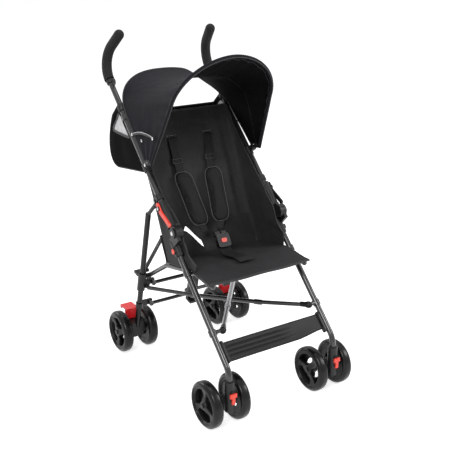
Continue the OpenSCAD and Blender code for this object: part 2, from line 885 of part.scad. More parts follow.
// One half of a crossbar, from the lug on its leg to the middle
module crossbar(sg, z) {
    x = side_x - bar_in;
    color(tube_black) side(sg) at_rear_mid() translate([0, sg * bar_layer, rear_s(z)])
        difference() {
            union() {
                xcyl(0, x, bar_r - swell);
                for (e = [0, x]) translate([e, 0, 0]) ycyl(-bar_r, bar_r, bar_eye_r);
            }
            for (e = [0, x]) translate([e, 0, 0]) ycyl(-bar_r - over, bar_r + over, bar_pin_r + run_fit);
        }
}

module fold_pedal() {
    y = -bar_layer - bar_r - gap;
    color(plastic_black) centred() at_rear_mid() {
        box([-fold_half, fold_half], [y - fold_t, y], [rear_s(low_bar_z) - fold_over, rear_s(high_bar_z) + fold_over]);
        box([-fold_half, fold_half], [y - fold_t - tread_reach, y - fold_t + weld],
            [rear_s(low_bar_z) - fold_over, rear_s(low_bar_z) - fold_over + tread_t]);
        for (z = [low_bar_z, high_bar_z])
            translate([0, 0, rear_s(z)]) ycyl(y - weld, -gap, bar_pin_r);
    }
}

// Canopy pieces

module canopy_clip(sg) {
    pin = [side_x, canopy_pin[0], canopy_pin[1]];
    pin_s = (pin - handle_o) * lean_up(frame_lean);
    pin_y = (pin - handle_o) * lean_rear(frame_lean);
    color(plastic_black) side(sg) at_handle() translate([0, 0, pin_s]) {
        pipe(-canopy_clip_half, canopy_clip_half, clamp_r, tube_r + run_fit);
        box(canopy_ear_x, [pin_y, -tube_r - weld], [-canopy_ear_r, canopy_ear_r]);
        translate([0, pin_y, 0]) {
            xcyl(canopy_ear_x[0], canopy_ear_x[1], canopy_ear_r);
            xcyl(canopy_ear_x[0], canopy_ear_x[1] + bow_t + gap + gap, canopy_pin_r);
            xcyl(canopy_ear_x[1] + bow_t + gap + gap, canopy_ear_x[1] + bow_t + gap + gap + pin_head_t, pin_head_r);
        }
    }
}

module canopy_bow() {
    straight = bow_h - bow_x;
    color(plastic_black) centred() translate([0, canopy_pin[0], canopy_pin[1]]) rotate([bow_lean, 0, 0]) {
        translate([0, 0, straight])
            rotate([90, 0, 0]) rotate_extrude(angle = 180) translate([bow_x, 0]) circle(r = bow_r);
        for (s = [-1, 1])
            translate([s * bow_x, 0, 0]) {
                difference() {
                    union() {
                        cylinder(h = straight, r = bow_r);
                        xcyl(-bow_t / 2, bow_t / 2, bow_eye_r);
                    }
                    xcyl(-bow_eye_r, bow_eye_r, canopy_pin_r + run_fit);
                    for (e = [-1, 1])
                        translate([e * bow_eye_r + (e - 1) * bow_t / 2 - e * (bow_eye_r - bow_t / 2) + (1 - e) * bow_t / 2, 0, 0])
                            xcyl(e > 0 ? 0 : -bow_eye_r, e > 0 ? bow_eye_r : 0, canopy_ear_r + gap);
                }
            }
    }
}

// The canopy's front edge lies just behind the bow and its rear edge along the handles; e is 0 or 1
function hem_r(e) = cloth_front_r + (cloth_rear_r - cloth_front_r) * e;
function cloth_h(e) = bow_h - cloth_drop * e;
function edge_lean(e) = e == 0 ? bow_lean - cloth_behind : -rear_edge_lean;
function arch_turn(k) = 180 * min(1, max(0, (k - side_steps) / arch_steps));
function arch_at(e, k) =
    let (half = bow_x + bow_r + cloth_clear, top = cloth_h(e) + bow_r + cloth_clear, spring = top - half,
        n = side_steps, m = arch_steps, h = hem_r(e))
    k < n ? [half, h + (spring - h) * k / n]
    : k <= n + m ? [half * cos(arch_turn(k)), spring + half * sin(arch_turn(k))]
    : [-half, spring + (h - spring) * (k - n - m) / n];
function edge_at(e, k) =
    let (p = arch_at(e, k), a = edge_lean(e))
    [p[0], canopy_pin[0] - p[1] * sin(a), canopy_pin[1] + p[1] * cos(a)];
// Between its edges the cloth runs straight at the sides and sinks over the crown
function cloth_sink(u, k) = cloth_sag * 4 * u * (1 - u) * pow(sin(arch_turn(k)), 1.5);
function canopy_at(u, k, out) =
    edge_at(0, k) + u * (edge_at(1, k) - edge_at(0, k))
    + [out * cos(arch_turn(k)), 0, out * sin(arch_turn(k)) - cloth_sink(u, k)];
function canopy_grid(out) =
    [for (i = [0:cloth_steps]) [for (k = [0:arch_steps + 2 * side_steps]) canopy_at(i / cloth_steps, k, out)]];

module canopy_fabric() {
    color(canopy_grey) centred() sheet(canopy_grid(cloth_t), canopy_grid(0));
}

// The rear flap hangs behind the handles, with a side panel along each handle and soft folds across
function curve_at(c, t) =
    pow(1 - t, 3) * c[0] + 3 * pow(1 - t, 2) * t * c[1] + 3 * (1 - t) * pow(t, 2) * c[2] + pow(t, 3) * c[3];
function curve_run(c, t) =
    pow(1 - t, 2) * (c[1] - c[0]) + 2 * (1 - t) * t * (c[2] - c[1]) + pow(t, 2) * (c[3] - c[2]);
function curve_out(c, t) =
    let (v = curve_run(c, t) / norm(curve_run(c, t)))
    [-v[1], v[0]];
function flap_edge(t) =
    let (e = in_frame(handle_o, frame_lean, 0, flap_off, flap_edge_s[0] + t * (flap_edge_s[1] - flap_edge_s[0])))
    [e[1], e[2]];
function flap_at(t, j, out) =
    let (k = j <= flap_side ? j / flap_side
            : j >= flap_cols - flap_side ? (flap_cols - j) / flap_side : 1,
        u = min(1, max(0, (j - flap_side) / (flap_cols - 2 * flap_side))),
        back = curve_at(flap_curve, t), n = curve_out(flap_curve, t), x = flap_half * (2 * u - 1),
        wave = flap_fold * t * (1 - cos(360 * flap_folds * u)) / 2,
        deep = k < 1 ? 0 : out - wave, wide = u == 0 ? -out : u == 1 ? out : 0,
        p = flap_edge(t) + k * (back - flap_edge(t)) + deep * n)
    [x + wide, p[0], p[1]];
function flap_grid(out) =
    [for (i = [0:flap_rows]) [for (j = [0:flap_cols]) flap_at(i / flap_rows, j, out)]];

module rear_flap() {
    color(cloth_black) centred() sheet(flap_grid(cloth_t), flap_grid(0));
}

// Seat and harness pieces

module seat_base() {
    line = [seat_front, seat_hump, seat_rear];
    band = concat(line, [for (i = [2:-1:0]) line[i] + [0, seat_t]]);
    color(cloth_black) centred()
        rotate([90, 0, 90]) translate([0, 0, -seat_half]) linear_extrude(2 * seat_half) polygon(band);
}

module at_back() {
    translate(back_o) rotate([-back_lean, 0, 0]) children();
}

// A point of the seat back at share t down from its top, across from one wing's front edge to the other's
function back_edge(t) = back_foot + (1 - t) * [back_top_y - back_foot[0], seat_top_z - back_foot[1]];
function wing_edge(t) =
    let (n = len(wing_line) - 1, k = min(n - 1, floor((1 - t) * n)), f = (1 - t) * n - k)
    wing_line[k] + f * (wing_line[k + 1] - wing_line[k]);
function back_at(t, j, out) =
    let (v = j < wing_cols ? 1 - j / wing_cols
            : j > wing_cols + back_cols ? (j - wing_cols - back_cols) / wing_cols : 0,
        u = min(1, max(-1, 2 * (j - wing_cols) / back_cols - 1)),
        lift = t == 1 ? 4 * wing_lift * v * (1 - v) : 0,
        p = back_edge(t) + v * (wing_edge(t) - back_edge(t)) + (1 - v) * out * [cos(back_lean), -sin(back_lean)])
    [u * (seat_side - seat_t + out), p[0], p[1] + lift];
function back_grid(out) =
    let (rows = len(wing_line) - 1)
    [for (i = [0:rows]) [for (j = [0:2 * wing_cols + back_cols]) back_at(i / rows, j, out)]];

module seat_back() {
    color(cloth_black) centred() sheet(back_grid(seat_t), back_grid(0));
}

// A point in front of the seat back
function on_back(x, s, front) = in_frame(back_o, back_lean, x, -front, s);

// A padded shoulder pad with a crown and drawn-in edges
function pad_at(i, j, crown) =
    let (u = 2 * i / pad_rows - 1, v = 2 * j / pad_cols - 1, edge = sqrt(1 - pow(u, 4)),
        run = (u + 1) / 2,
        x = pad_x[0] + run * (pad_x[1] - pad_x[0]) + v * pad_w / 2 * (1 - pad_draw_share + pad_draw_share * edge),
        puff = crown * (pad_rim_share + (1 - pad_rim_share) * edge * sqrt(1 - pow(v, 4))))
    [x, -pad_front[0] - run * (pad_front[1] - pad_front[0]) - puff, pad_s + pad_len * run];
function pad_grid(crown) = [for (i = [0:pad_rows]) [for (j = [0:pad_cols]) pad_at(i, j, crown)]];

module shoulder_pad(sg) {
    color(cloth_black) side(sg) at_back() sheet(pad_grid(pad_t_crown), pad_grid(0));
}

module at_buckle() {
    translate([0, buckle_y, buckle_z]) rotate([-buckle_lean, 0, 0]) children();
}

module harness_straps() {
    front = gap + strap_t / 2;
    behind = buckle_t / 2 + gap;
    tongue = in_frame([0, buckle_y, buckle_z], buckle_lean, 0, behind + strap_t / 2, buckle_h / 2 + tongue_h / 2);
    color(cloth_black) centred() {
        for (s = [-1, 1]) {
            low = on_back(s * pad_x[0], pad_s - strap_t, pad_front[0] - front);
            high = on_back(s * pad_x[1], pad_s + pad_len, pad_front[1] - front);
            strap(low, high, strap_w, strap_t);
            strap(high, on_back(s * slot_x, slot_s, front), strap_w, strap_t);
            strap(tongue + [s * strap_w / 2, 0, 0], low, strap_w, strap_t);
        }
        at_buckle() {
            box([-strap_w, strap_w], [behind, behind + strap_t + strap_t], [buckle_h / 2, buckle_h / 2 + tongue_h]);
            box([-strap_w / 2, strap_w / 2], [behind, behind + strap_t], [-crotch_len, buckle_h / 2 + tongue_h / 2]);
        }
    }
}

// A flat shape with round corners, standing in the XZ plane from y0 to y1
module rounded(w, h, r, y0, y1) {
    translate([0, y1, 0])
        rotate([90, 0, 0])
            linear_extrude(y1 - y0) {
                square([w - 2 * r, h], center = true);
                square([w, h - 2 * r], center = true);
                for (x = [-1, 1]) for (z = [-1, 1])
                    translate([x * (w / 2 - r), z * (h / 2 - r)]) circle(r = r);
            }
}

module harness_buckle() {
    front = -buckle_t / 2;
    color(plastic_black) centred() at_buckle()
        difference() {
            rounded(buckle_w, buckle_h, buckle_round, front, buckle_t / 2);
            rounded(button_w + 2 * gap, button_h + 2 * gap, button_h / 2, front - over, front + button_deep + press);
        }
}

module buckle_button() {
    front = -buckle_t / 2;
    color(lock_red) centred() at_buckle()
        rounded(button_w, button_h, button_h / 2 - weld, front - button_proud, front + button_deep - gap);
}

module footrest() {
    half = side_x + tube_r;
    y = -tube_r - gap - footrest_t;
    color(plastic_black) centred() at_frame([0, leg_o[1], leg_o[2]], frame_lean) {
        box([-half, half], [y, y + footrest_t], [footrest_s - footrest_w, footrest_s]);
        for (k = [1:footrest_ribs])
            translate([0, 0, footrest_s - k * footrest_w / (footrest_ribs + 1)])
                box([-side_x + clamp_r, side_x - clamp_r], [y - rib_h, y + weld], [-rib_w / 2, rib_w / 2]);
    }
}

handle_tube(-1);  // handle_tube_right
handle_tube(1);  // handle_tube_left
handle_grip(-1);  // handle_grip_right
handle_grip(1);  // handle_grip_left
knuckle_upper(-1);  // knuckle_upper_right
knuckle_upper(1);  // knuckle_upper_left
knuckle_lower(-1);  // knuckle_lower_right
knuckle_lower(1);  // knuckle_lower_left
lock_lever(-1);  // lock_lever_right
lock_lever(1);  // lock_lever_left
canopy_clip(-1);  // canopy_clip_right
canopy_clip(1);  // canopy_clip_left
front_leg(-1);  // front_leg_right
front_leg(1);  // front_leg_left
caster_socket(-1);  // caster_socket_right
caster_socket(1);  // caster_socket_left
swivel_lock(-1);  // swivel_lock_right
swivel_lock(1);  // swivel_lock_left
caster_fork(-1);  // caster_fork_right
caster_fork(1);  // caster_fork_left
front_wheel(-1, 1);  // front_wheel_outer_right
front_wheel(1, 1);  // front_wheel_outer_left
front_wheel(-1, -1);  // front_wheel_inner_right
front_wheel(1, -1);  // front_wheel_inner_left
seat_rail(-1);  // seat_rail_right
seat_rail(1);  // seat_rail_left
rear_bracket(-1);  // rear_bracket_right
rear_bracket(1);  // rear_bracket_left
rear_leg(-1);  // rear_leg_right
rear_leg(1);  // rear_leg_left
rear_joint(-1);  // rear_joint_right
rear_joint(1);  // rear_joint_left
brake_housing(-1);  // brake_housing_right
brake_housing(1);  // brake_housing_left
brake_pedal(-1);  // brake_pedal_right
brake_pedal(1);  // brake_pedal_left
rear_wheel(-1, 1);  // rear_wheel_outer_right
rear_wheel(1, 1);  // rear_wheel_outer_left
rear_wheel(-1, -1);  // rear_wheel_inner_right
rear_wheel(1, -1);  // rear_wheel_inner_left
rear_brace(-1);  // rear_brace_right
rear_brace(1);  // rear_brace_left
lower_brace(-1);  // lower_brace_right
lower_brace(1);  // lower_brace_left
crossbar(-1, low_bar_z);  // lower_bar_right
crossbar(1, low_bar_z);  // lower_bar_left
crossbar(-1, high_bar_z);  // upper_bar_right
crossbar(1, high_bar_z);  // upper_bar_left
fold_pedal();
canopy_fabric();
canopy_bow();
rear_flap();
seat_back();
seat_base();
footrest();
shoulder_pad(-1);  // shoulder_pad_right
shoulder_pad(1);  // shoulder_pad_left
harness_straps();
harness_buckle();
buckle_button();
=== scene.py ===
# Umbrella stroller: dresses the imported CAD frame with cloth, pads, webbing, tyres and trim.
import math
import bpy
import bmesh
from mathutils import Matrix, Vector


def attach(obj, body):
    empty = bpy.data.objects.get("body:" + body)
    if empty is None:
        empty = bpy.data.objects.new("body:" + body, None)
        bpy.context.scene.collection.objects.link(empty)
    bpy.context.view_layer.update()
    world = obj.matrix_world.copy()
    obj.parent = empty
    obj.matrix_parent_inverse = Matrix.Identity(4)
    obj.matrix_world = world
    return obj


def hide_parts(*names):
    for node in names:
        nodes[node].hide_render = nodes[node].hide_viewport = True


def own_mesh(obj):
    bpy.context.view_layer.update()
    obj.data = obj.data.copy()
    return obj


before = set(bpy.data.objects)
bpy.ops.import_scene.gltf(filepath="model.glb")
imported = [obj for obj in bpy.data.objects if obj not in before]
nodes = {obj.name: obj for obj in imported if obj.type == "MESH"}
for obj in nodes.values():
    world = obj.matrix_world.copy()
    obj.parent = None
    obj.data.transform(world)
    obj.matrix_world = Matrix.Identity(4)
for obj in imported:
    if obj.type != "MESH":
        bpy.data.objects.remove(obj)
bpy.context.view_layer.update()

scene = bpy.context.scene
# The CAD frame starts this far, in mm, behind the photograph's fitted frame
MID_Y = 31.9968
SIDES = (("right", -1), ("left", 1))
SIDE_X = 188
X_AXIS = Vector((1, 0, 0))
Z_AXIS = Vector((0, 0, 1))


def P(x, y, z):
    """A point of the photograph's fitted frame, in mm, as a point of the CAD frame in metres."""
    return Vector((x / 1000, (y - MID_Y) / 1000, z / 1000))


def mm(pairs, way=1):
    """Profile points (along, radius) from mm to metres; way -1 turns them about."""
    return [(way * a / 1000, r / 1000) for a, r in pairs]


def mix(a, b, t):
    return a + (b - a) * t


def ease(a, b, x):
    t = max(0.0, min(1.0, (x - a) / (b - a)))
    return t * t * (3 - 2 * t)


def along(table, t):
    """A point at share t along a table of evenly spaced points."""
    n = len(table) - 1
    k = min(n - 1, int(t * n))
    f = t * n - k
    return tuple(mix(a, b, f) for a, b in zip(table[k], table[k + 1]))


# Materials

def add_node(tree, kind, **values):
    """A new shader node; each value goes to the input of that name, with _ for a space."""
    new = tree.nodes.new("ShaderNode" + kind)
    for key, value in values.items():
        new.inputs[key.replace("_", " ")].default_value = value
    return new


def material(name, base, rough, metallic=0.0, coat=0.0, sheen=0.0, specular=0.5):
    m = bpy.data.materials.new(name)
    m.use_nodes = True
    s = m.node_tree.nodes["Principled BSDF"]
    s.inputs["Base Color"].default_value = (*base, 1)
    s.inputs["Roughness"].default_value = rough
    s.inputs["Metallic"].default_value = metallic
    s.inputs["Coat Weight"].default_value = coat
    s.inputs["Sheen Weight"].default_value = sheen
    s.inputs["Specular IOR Level"].default_value = specular
    return m


def vary(m, base, spread, scale, rough):
    """Colour and roughness drift a little over the surface."""
    t = m.node_tree
    s = t.nodes["Principled BSDF"]
    noise = add_node(t, "TexNoise", Scale=scale, Detail=4)
    t.links.new(add_node(t, "TexCoord").outputs["Object"], noise.inputs["Vector"])
    ramp = add_node(t, "ValToRGB")
    for element, place, share in zip(ramp.color_ramp.elements, (0.3, 0.7), (1 - spread, 1 + spread)):
        element.position = place
        element.color = (*[c * share for c in base], 1)
    t.links.new(noise.outputs["Fac"], ramp.inputs["Fac"])
    t.links.new(ramp.outputs["Color"], s.inputs["Base Color"])
    span = add_node(t, "MapRange", To_Min=rough[0], To_Max=rough[1])
    t.links.new(noise.outputs["Fac"], span.inputs["Value"])
    t.links.new(span.outputs["Result"], s.inputs["Roughness"])
    return m


def grain(m, scale, strength, distance):
    """Fine moulded or sprayed texture."""
    t = m.node_tree
    noise = add_node(t, "TexNoise", Scale=scale, Detail=3)
    t.links.new(add_node(t, "TexCoord").outputs["Object"], noise.inputs["Vector"])
    bump = add_node(t, "Bump", Strength=strength, Distance=distance)
    t.links.new(noise.outputs["Fac"], bump.inputs["Height"])
    t.links.new(bump.outputs["Normal"], t.nodes["Principled BSDF"].inputs["Normal"])
    return m


def weave(m, pitch, strength, distance, across="X", along_axis="Z", crease=0.0):
    """Crossed threads of that pitch in metres, with soft creases under them."""
    t = m.node_tree
    co = add_node(t, "TexCoord")
    both = add_node(t, "Math")
    both.operation = "MAXIMUM"
    for k, axis in enumerate((across, along_axis)):
        wave = add_node(t, "TexWave", Scale=0.314 / pitch, Distortion=0.6, Detail=1)
        wave.bands_direction = axis
        t.links.new(co.outputs["Object"], wave.inputs["Vector"])
        t.links.new(wave.outputs["Fac"], both.inputs[k])
    bump = add_node(t, "Bump", Strength=strength, Distance=distance)
    t.links.new(both.outputs["Value"], bump.inputs["Height"])
    if crease:
        soft = add_node(t, "TexNoise", Scale=14, Detail=3, Distortion=0.8)
        t.links.new(co.outputs["Object"], soft.inputs["Vector"])
        under = add_node(t, "Bump", Strength=0.6, Distance=crease)
        t.links.new(soft.outputs["Fac"], under.inputs["Height"])
        t.links.new(under.outputs["Normal"], bump.inputs["Normal"])
    t.links.new(bump.outputs["Normal"], t.nodes["Principled BSDF"].inputs["Normal"])
    return m


def hard(name, base, rough, drift, texture, **shine):
    """Paint, plastic or metal; drift is the colour's spread, its scale and the span of roughness."""
    return grain(vary(material(name, base, rough, **shine), base, *drift), *texture)


def woven(name, base, rough, drift, threads, **shine):
    """Cloth or webbing; threads are pitch, strength, depth, the two directions and the depth of creases."""
    return weave(vary(material(name, base, rough, **shine), base, *drift), *threads)


# Colours
TUBE = (0.011, 0.011, 0.012)
# The rear legs take the tube paint darkened: painted shade
REAR_SHADED = (0.0052, 0.0052, 0.0058)
PLASTIC = (0.0095, 0.0095, 0.0105)
BLACK = (0.0038, 0.0038, 0.0042)
FOAM = (0.0125, 0.0125, 0.0135)
RED = (0.78, 0.055, 0.032)
PEDAL = (0.8, 0.014, 0.02)
STEEL = (0.55, 0.55, 0.56)
# Light metal for the right lower brace and the top line of the canopy stays: painted highlight
HIGHLIGHT_GREY = (0.36, 0.36, 0.37)
TYRE = (0.0036, 0.0036, 0.0041)
HUB = (0.007, 0.007, 0.0078)
SLATE = (0.0095, 0.0095, 0.0125)
LINING = (0.0018, 0.0018, 0.0021)
FLAP = (0.0022, 0.0022, 0.0026)
CLOTH = (0.0215, 0.0207, 0.0222)
# The seat cloth made lighter for the seat back, with broad light and dark patches: painted light and painted
# fold shading
BACK_LIT = (0.0255, 0.0246, 0.0262)
PAD = (0.0135, 0.0133, 0.0142)
WEB = (0.0085, 0.0085, 0.0092)
NET = (0.58, 0.58, 0.59)
TRIM = (0.0105, 0.0105, 0.0115)
STITCH = (0.075, 0.075, 0.077)
THREAD = (0.32, 0.32, 0.325)
VINYL = (0.0078, 0.0074, 0.0078)

# Textures: scale, strength and depth
PAINT_GRAIN = (1400, 0.06, 0.0003)
RED_GRAIN = (1500, 0.06, 0.0003)
THREAD_GRAIN = (2500, 0.3, 0.0004)

tube_mat = hard("tube_paint", TUBE, 0.24, (0.15, 30, (0.17, 0.27)), PAINT_GRAIN, coat=0.4)
# Tube paint darkened for the rear legs: painted shade
rear_shaded_mat = hard("rear_leg_painted_shade", REAR_SHADED, 0.3, (0.15, 30, (0.24, 0.34)), PAINT_GRAIN, specular=0.3)
plastic_mat = hard("moulded_plastic", PLASTIC, 0.42, (0.2, 45, (0.36, 0.5)), (1800, 0.12, 0.0004),
                   specular=0.32)
black_mat = hard("buckle_plastic", BLACK, 0.36, (0.2, 45, (0.3, 0.42)), (1800, 0.1, 0.0004), specular=0.22)
foam_mat = hard("grip_foam", FOAM, 0.8, (0.25, 60, (0.7, 0.9)), (900, 0.5, 0.0012), specular=0.25)
red_mat = hard("red_plastic", RED, 0.36, (0.08, 60, (0.3, 0.42)), RED_GRAIN)
pedal_mat = hard("pedal_plastic", PEDAL, 0.36, (0.08, 60, (0.3, 0.42)), RED_GRAIN)
steel_mat = hard("plated_steel", STEEL, 0.28, (0.1, 80, (0.2, 0.36)), (900, 0.05, 0.0003), metallic=1.0)
# Light metal that stands in for highlights: painted highlight
highlight_mat = hard("painted_highlight_metal", HIGHLIGHT_GREY, 0.32, (0.12, 40, (0.26, 0.38)), PAINT_GRAIN, metallic=0.9)
tyre_mat = hard("tyre_foam", TYRE, 0.27, (0.2, 40, (0.23, 0.31)), (1100, 0.08, 0.0004), specular=0.24)
hub_mat = hard("wheel_hub", HUB, 0.38, (0.15, 40, (0.32, 0.45)), (1500, 0.08, 0.0004), specular=0.25)
vinyl_mat = hard("footrest_vinyl", VINYL, 0.46, (0.15, 40, (0.42, 0.52)), (1600, 0.1, 0.0004), specular=0.22)
stitch_mat = hard("grey_piping", STITCH, 0.7, (0.15, 200, (0.6, 0.8)), THREAD_GRAIN)
thread_mat = hard("grey_thread", THREAD, 0.7, (0.15, 200, (0.6, 0.8)), THREAD_GRAIN)
canopy_mat = woven("canopy_cloth", SLATE, 0.8, (0.12, 16, (0.72, 0.86)),
                   (0.0011, 0.35, 0.0004, "X", "DIAGONAL", 0.004), specular=0.12)
lining_mat = woven("canopy_lining", LINING, 0.85, (0.2, 18, (0.8, 0.92)),
                   (0.0012, 0.3, 0.0004, "X", "DIAGONAL", 0.004), specular=0.08)
flap_mat = woven("flap_cloth", FLAP, 0.82, (0.2, 16, (0.76, 0.9)),
                 (0.0012, 0.35, 0.0004, "X", "Z", 0.004), specular=0.04)
cloth_mat = woven("seat_cloth", CLOTH, 0.82, (0.2, 14, (0.74, 0.9)),
                  (0.0013, 0.4, 0.0005, "X", "Z", 0.005), specular=0.25)
# Seat back: lighter copy of the seat cloth with broad patches, painted light and painted fold shading
back_lit_mat = woven("back_cloth_painted_light", BACK_LIT, 0.78, (0.3, 9, (0.66, 0.88)),
                 (0.0013, 0.4, 0.0005, "X", "Z", 0.008), specular=0.28)
pad_mat = woven("pad_cloth", PAD, 0.82, (0.2, 30, (0.75, 0.9)),
                (0.0012, 0.4, 0.0005, "X", "Z", 0.002), specular=0.25)
web_mat = woven("webbing", WEB, 0.7, (0.2, 40, (0.62, 0.8)), (0.0016, 0.6, 0.0006), specular=0.3)
net_mat = woven("window_net", NET, 0.8, (0.08, 60, (0.75, 0.9)), (0.002, 0.6, 0.0006, "Y", "Z"))
trim_mat = woven("binding_tape", TRIM, 0.6, (0.2, 60, (0.52, 0.68)), (0.0009, 0.4, 0.0004))


# Mesh building

SHARP = 40


class Build:
    """Collects faces with material numbers and turns them into one piece."""

    def __init__(self):
        self.verts, self.faces, self.mats = [], [], []

    def add(self, verts, faces, mat=0):
        n = len(self.verts)
        self.verts += [Vector(v) for v in verts]
        self.faces += [[i + n for i in f] for f in faces]
        self.mats += [mat] * len(faces)

    def grid(self, rows, mat=0, wrap=False):
        c = len(rows[0])
        faces = []
        for i in range(len(rows) - 1):
            for j in range(c if wrap else c - 1):
                k = (j + 1) % c
                faces.append([i * c + j, i * c + k, (i + 1) * c + k, (i + 1) * c + j])
        self.add([p for row in rows for p in row], faces, mat)

    def shell(self, rows, thick, out=0, inner=0, rim=0):
        """A closed sheet of that thickness about a grid of points."""
        r, c = len(rows), len(rows[0])
        top, low = [], []
        for i in range(r):
            for j in range(c):
                du = rows[min(i + 1, r - 1)][j] - rows[max(i - 1, 0)][j]
                dv = rows[i][min(j + 1, c - 1)] - rows[i][max(j - 1, 0)]
                n = dv.cross(du)
                n = n.normalized() if n.length > 1e-12 else Z_AXIS
                top.append(rows[i][j] + n * thick / 2)
                low.append(rows[i][j] - n * thick / 2)
        m = r * c
        faces_out, faces_in, faces_rim = [], [], []
        for i in range(r - 1):
            for j in range(c - 1):
                a, b, d, e = i * c + j, i * c + j + 1, (i + 1) * c + j + 1, (i + 1) * c + j
                faces_out.append([a, e, d, b])
                faces_in.append([m + a, m + b, m + d, m + e])
        for i in range(r - 1):
            for j in (0, c - 1):
                a, b = i * c + j, (i + 1) * c + j
                faces_rim.append([a, b, m + b, m + a] if j else [b, a, m + a, m + b])
        for j in range(c - 1):
            for i in (0, r - 1):
                a, b = i * c + j, i * c + j + 1
                faces_rim.append([b, a, m + a, m + b] if i else [a, b, m + b, m + a])
        n = len(self.verts)
        self.verts += top + low
        for group, mat in ((faces_out, out), (faces_in, inner), (faces_rim, rim)):
            self.faces += [[k + n for k in f] for f in group]
            self.mats += [mat] * len(group)

    def sweep(self, pts, section, mat=0, closed=False, wide=None):
        """Sweeps a closed section of (across, out) points along pts; wide fixes the across direction."""
        rows = []
        n = len(pts)
        across = None
        for i in range(n):
            a = pts[(i - 1) % n if closed else max(i - 1, 0)]
            b = pts[(i + 1) % n if closed else min(i + 1, n - 1)]
            d = (b - a).normalized()
            if wide is not None:
                w = wide[i] if isinstance(wide, list) else wide
                across = (w - d * w.dot(d)).normalized()
            elif across is None:
                up = Z_AXIS if abs(d.z) < 0.9 else X_AXIS
                across = d.cross(up).normalized()
            else:
                across = (across - d * across.dot(d)).normalized()
            out = d.cross(across)
            sec = section(i / (n - 1)) if callable(section) else section
            rows.append([pts[i] + across * s[0] + out * s[1] for s in sec])
        if closed:
            rows.append(rows[0])
        self.grid(rows, mat, wrap=True)
        if not closed:
            c = len(rows[0])
            self.add(rows[0], [list(range(c))], mat)
            self.add(rows[-1], [list(range(c))[::-1]], mat)

    def tube(self, pts, r, mat=0, n=10, closed=False):
        """A round rod of that radius along pts."""
        ring = [(r * math.cos(2 * math.pi * k / n), r * math.sin(2 * math.pi * k / n)) for k in range(n)]
        self.sweep(pts, ring, mat, closed)

    def ribbon(self, pts, wide, w, t, mat=0):
        """A flat band along pts, w wide and t thick, with broken edges."""
        e = min(t / 2, 0.001)
        a, b = w / 2, t / 2
        sec = [(-a + e, -b), (a - e, -b), (a, -b + e), (a, b - e),
               (a - e, b), (-a + e, b), (-a, b - e), (-a, -b + e)]
        self.sweep(pts, sec, mat, wide=wide)

    def lathe(self, profile, centre, axis, mat=0, n=48):
        """Turns (along, radius) points about an axis through centre."""
        d = Vector(axis).normalized()
        u = d.orthogonal().normalized()
        v = d.cross(u)
        rows = [[centre + d * a + (u * math.cos(2 * math.pi * k / n) + v * math.sin(2 * math.pi * k / n)) * r
                 for k in range(n)] for a, r in profile]
        self.grid(rows, mat, wrap=True)

    def piece(self, name, mats, body=None):
        """Makes the object, with edges sharper than SHARP kept, and lets it ride on a body."""
        me = bpy.data.meshes.new(name)
        me.from_pydata(self.verts, [], self.faces)
        for m in mats:
            me.materials.append(m)
        me.polygons.foreach_set("material_index", self.mats)
        bm = bmesh.new()
        bm.from_mesh(me)
        bmesh.ops.remove_doubles(bm, verts=bm.verts, dist=1e-6)
        bmesh.ops.recalc_face_normals(bm, faces=bm.faces)
        bm.to_mesh(me)
        bm.free()
        me.polygons.foreach_set("use_smooth", [True] * len(me.polygons))
        me.set_sharp_from_angle(angle=math.radians(SHARP))
        ob = bpy.data.objects.new(name, me)
        scene.collection.objects.link(ob)
        if body:
            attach(ob, body)
        return ob


def smooth_path(pts, steps=8, closed=False):
    """Catmull-Rom points through pts."""
    out = []
    n = len(pts)
    for i in range(n if closed else n - 1):
        p0, p1 = pts[(i - 1) % n if closed else max(i - 1, 0)], pts[i]
        p2, p3 = pts[(i + 1) % n], pts[(i + 2) % n if closed else min(i + 2, n - 1)]
        for k in range(steps):
            t = k / steps
            out.append(0.5 * ((2 * p1) + (p2 - p0) * t + (2 * p0 - 5 * p1 + 4 * p2 - p3) * t * t
                              + (3 * p1 - p0 - 3 * p2 + p3) * t ** 3))
    if not closed:
        out.append(pts[-1])
    return out


def length_of(pts):
    return sum((b - a).length for a, b in zip(pts, pts[1:]))


def folds(ob):
    """Gives the piece a mesh of its own."""
    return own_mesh(ob)


def declare(ob):
    """Hands the piece back as it is."""
    return ob


# Carried-over CAD nodes

# The first entry that a node's name starts with gives its finish; the rear legs' darkened tube paint is
# painted shade
# The right lower brace takes the light metal as a painted highlight; its mirror twin keeps the tube paint
FINISHES = ((("handle_tube", "front_leg", "seat_rail", "rear_brace", "lower_bar", "upper_bar"), tube_mat),
            (("lower_brace_left",), tube_mat), (("lower_brace_right",), highlight_mat), (("rear_leg",), rear_shaded_mat),
            (("handle_grip",), foam_mat), (("lock_lever_left",), plastic_mat),
            (("harness_buckle",), black_mat), (("brake_pedal",), pedal_mat),
            (("lock_lever", "swivel_lock", "buckle_button"), red_mat), (("",), plastic_mat))

for name, ob in nodes.items():
    ob.data.materials.clear()
    ob.data.materials.append(next(mat for starts, mat in FINISHES if name.startswith(starts)))


# Wheels

WHEEL_OFF, WHEEL_R = 46, 70
AXLE_Y = {"front": -274, "rear": 274}
SPOKE_TURN = {("front", "right"): 0, ("front", "left"): 34, ("rear", "right"): 70, ("rear", "left"): 15}


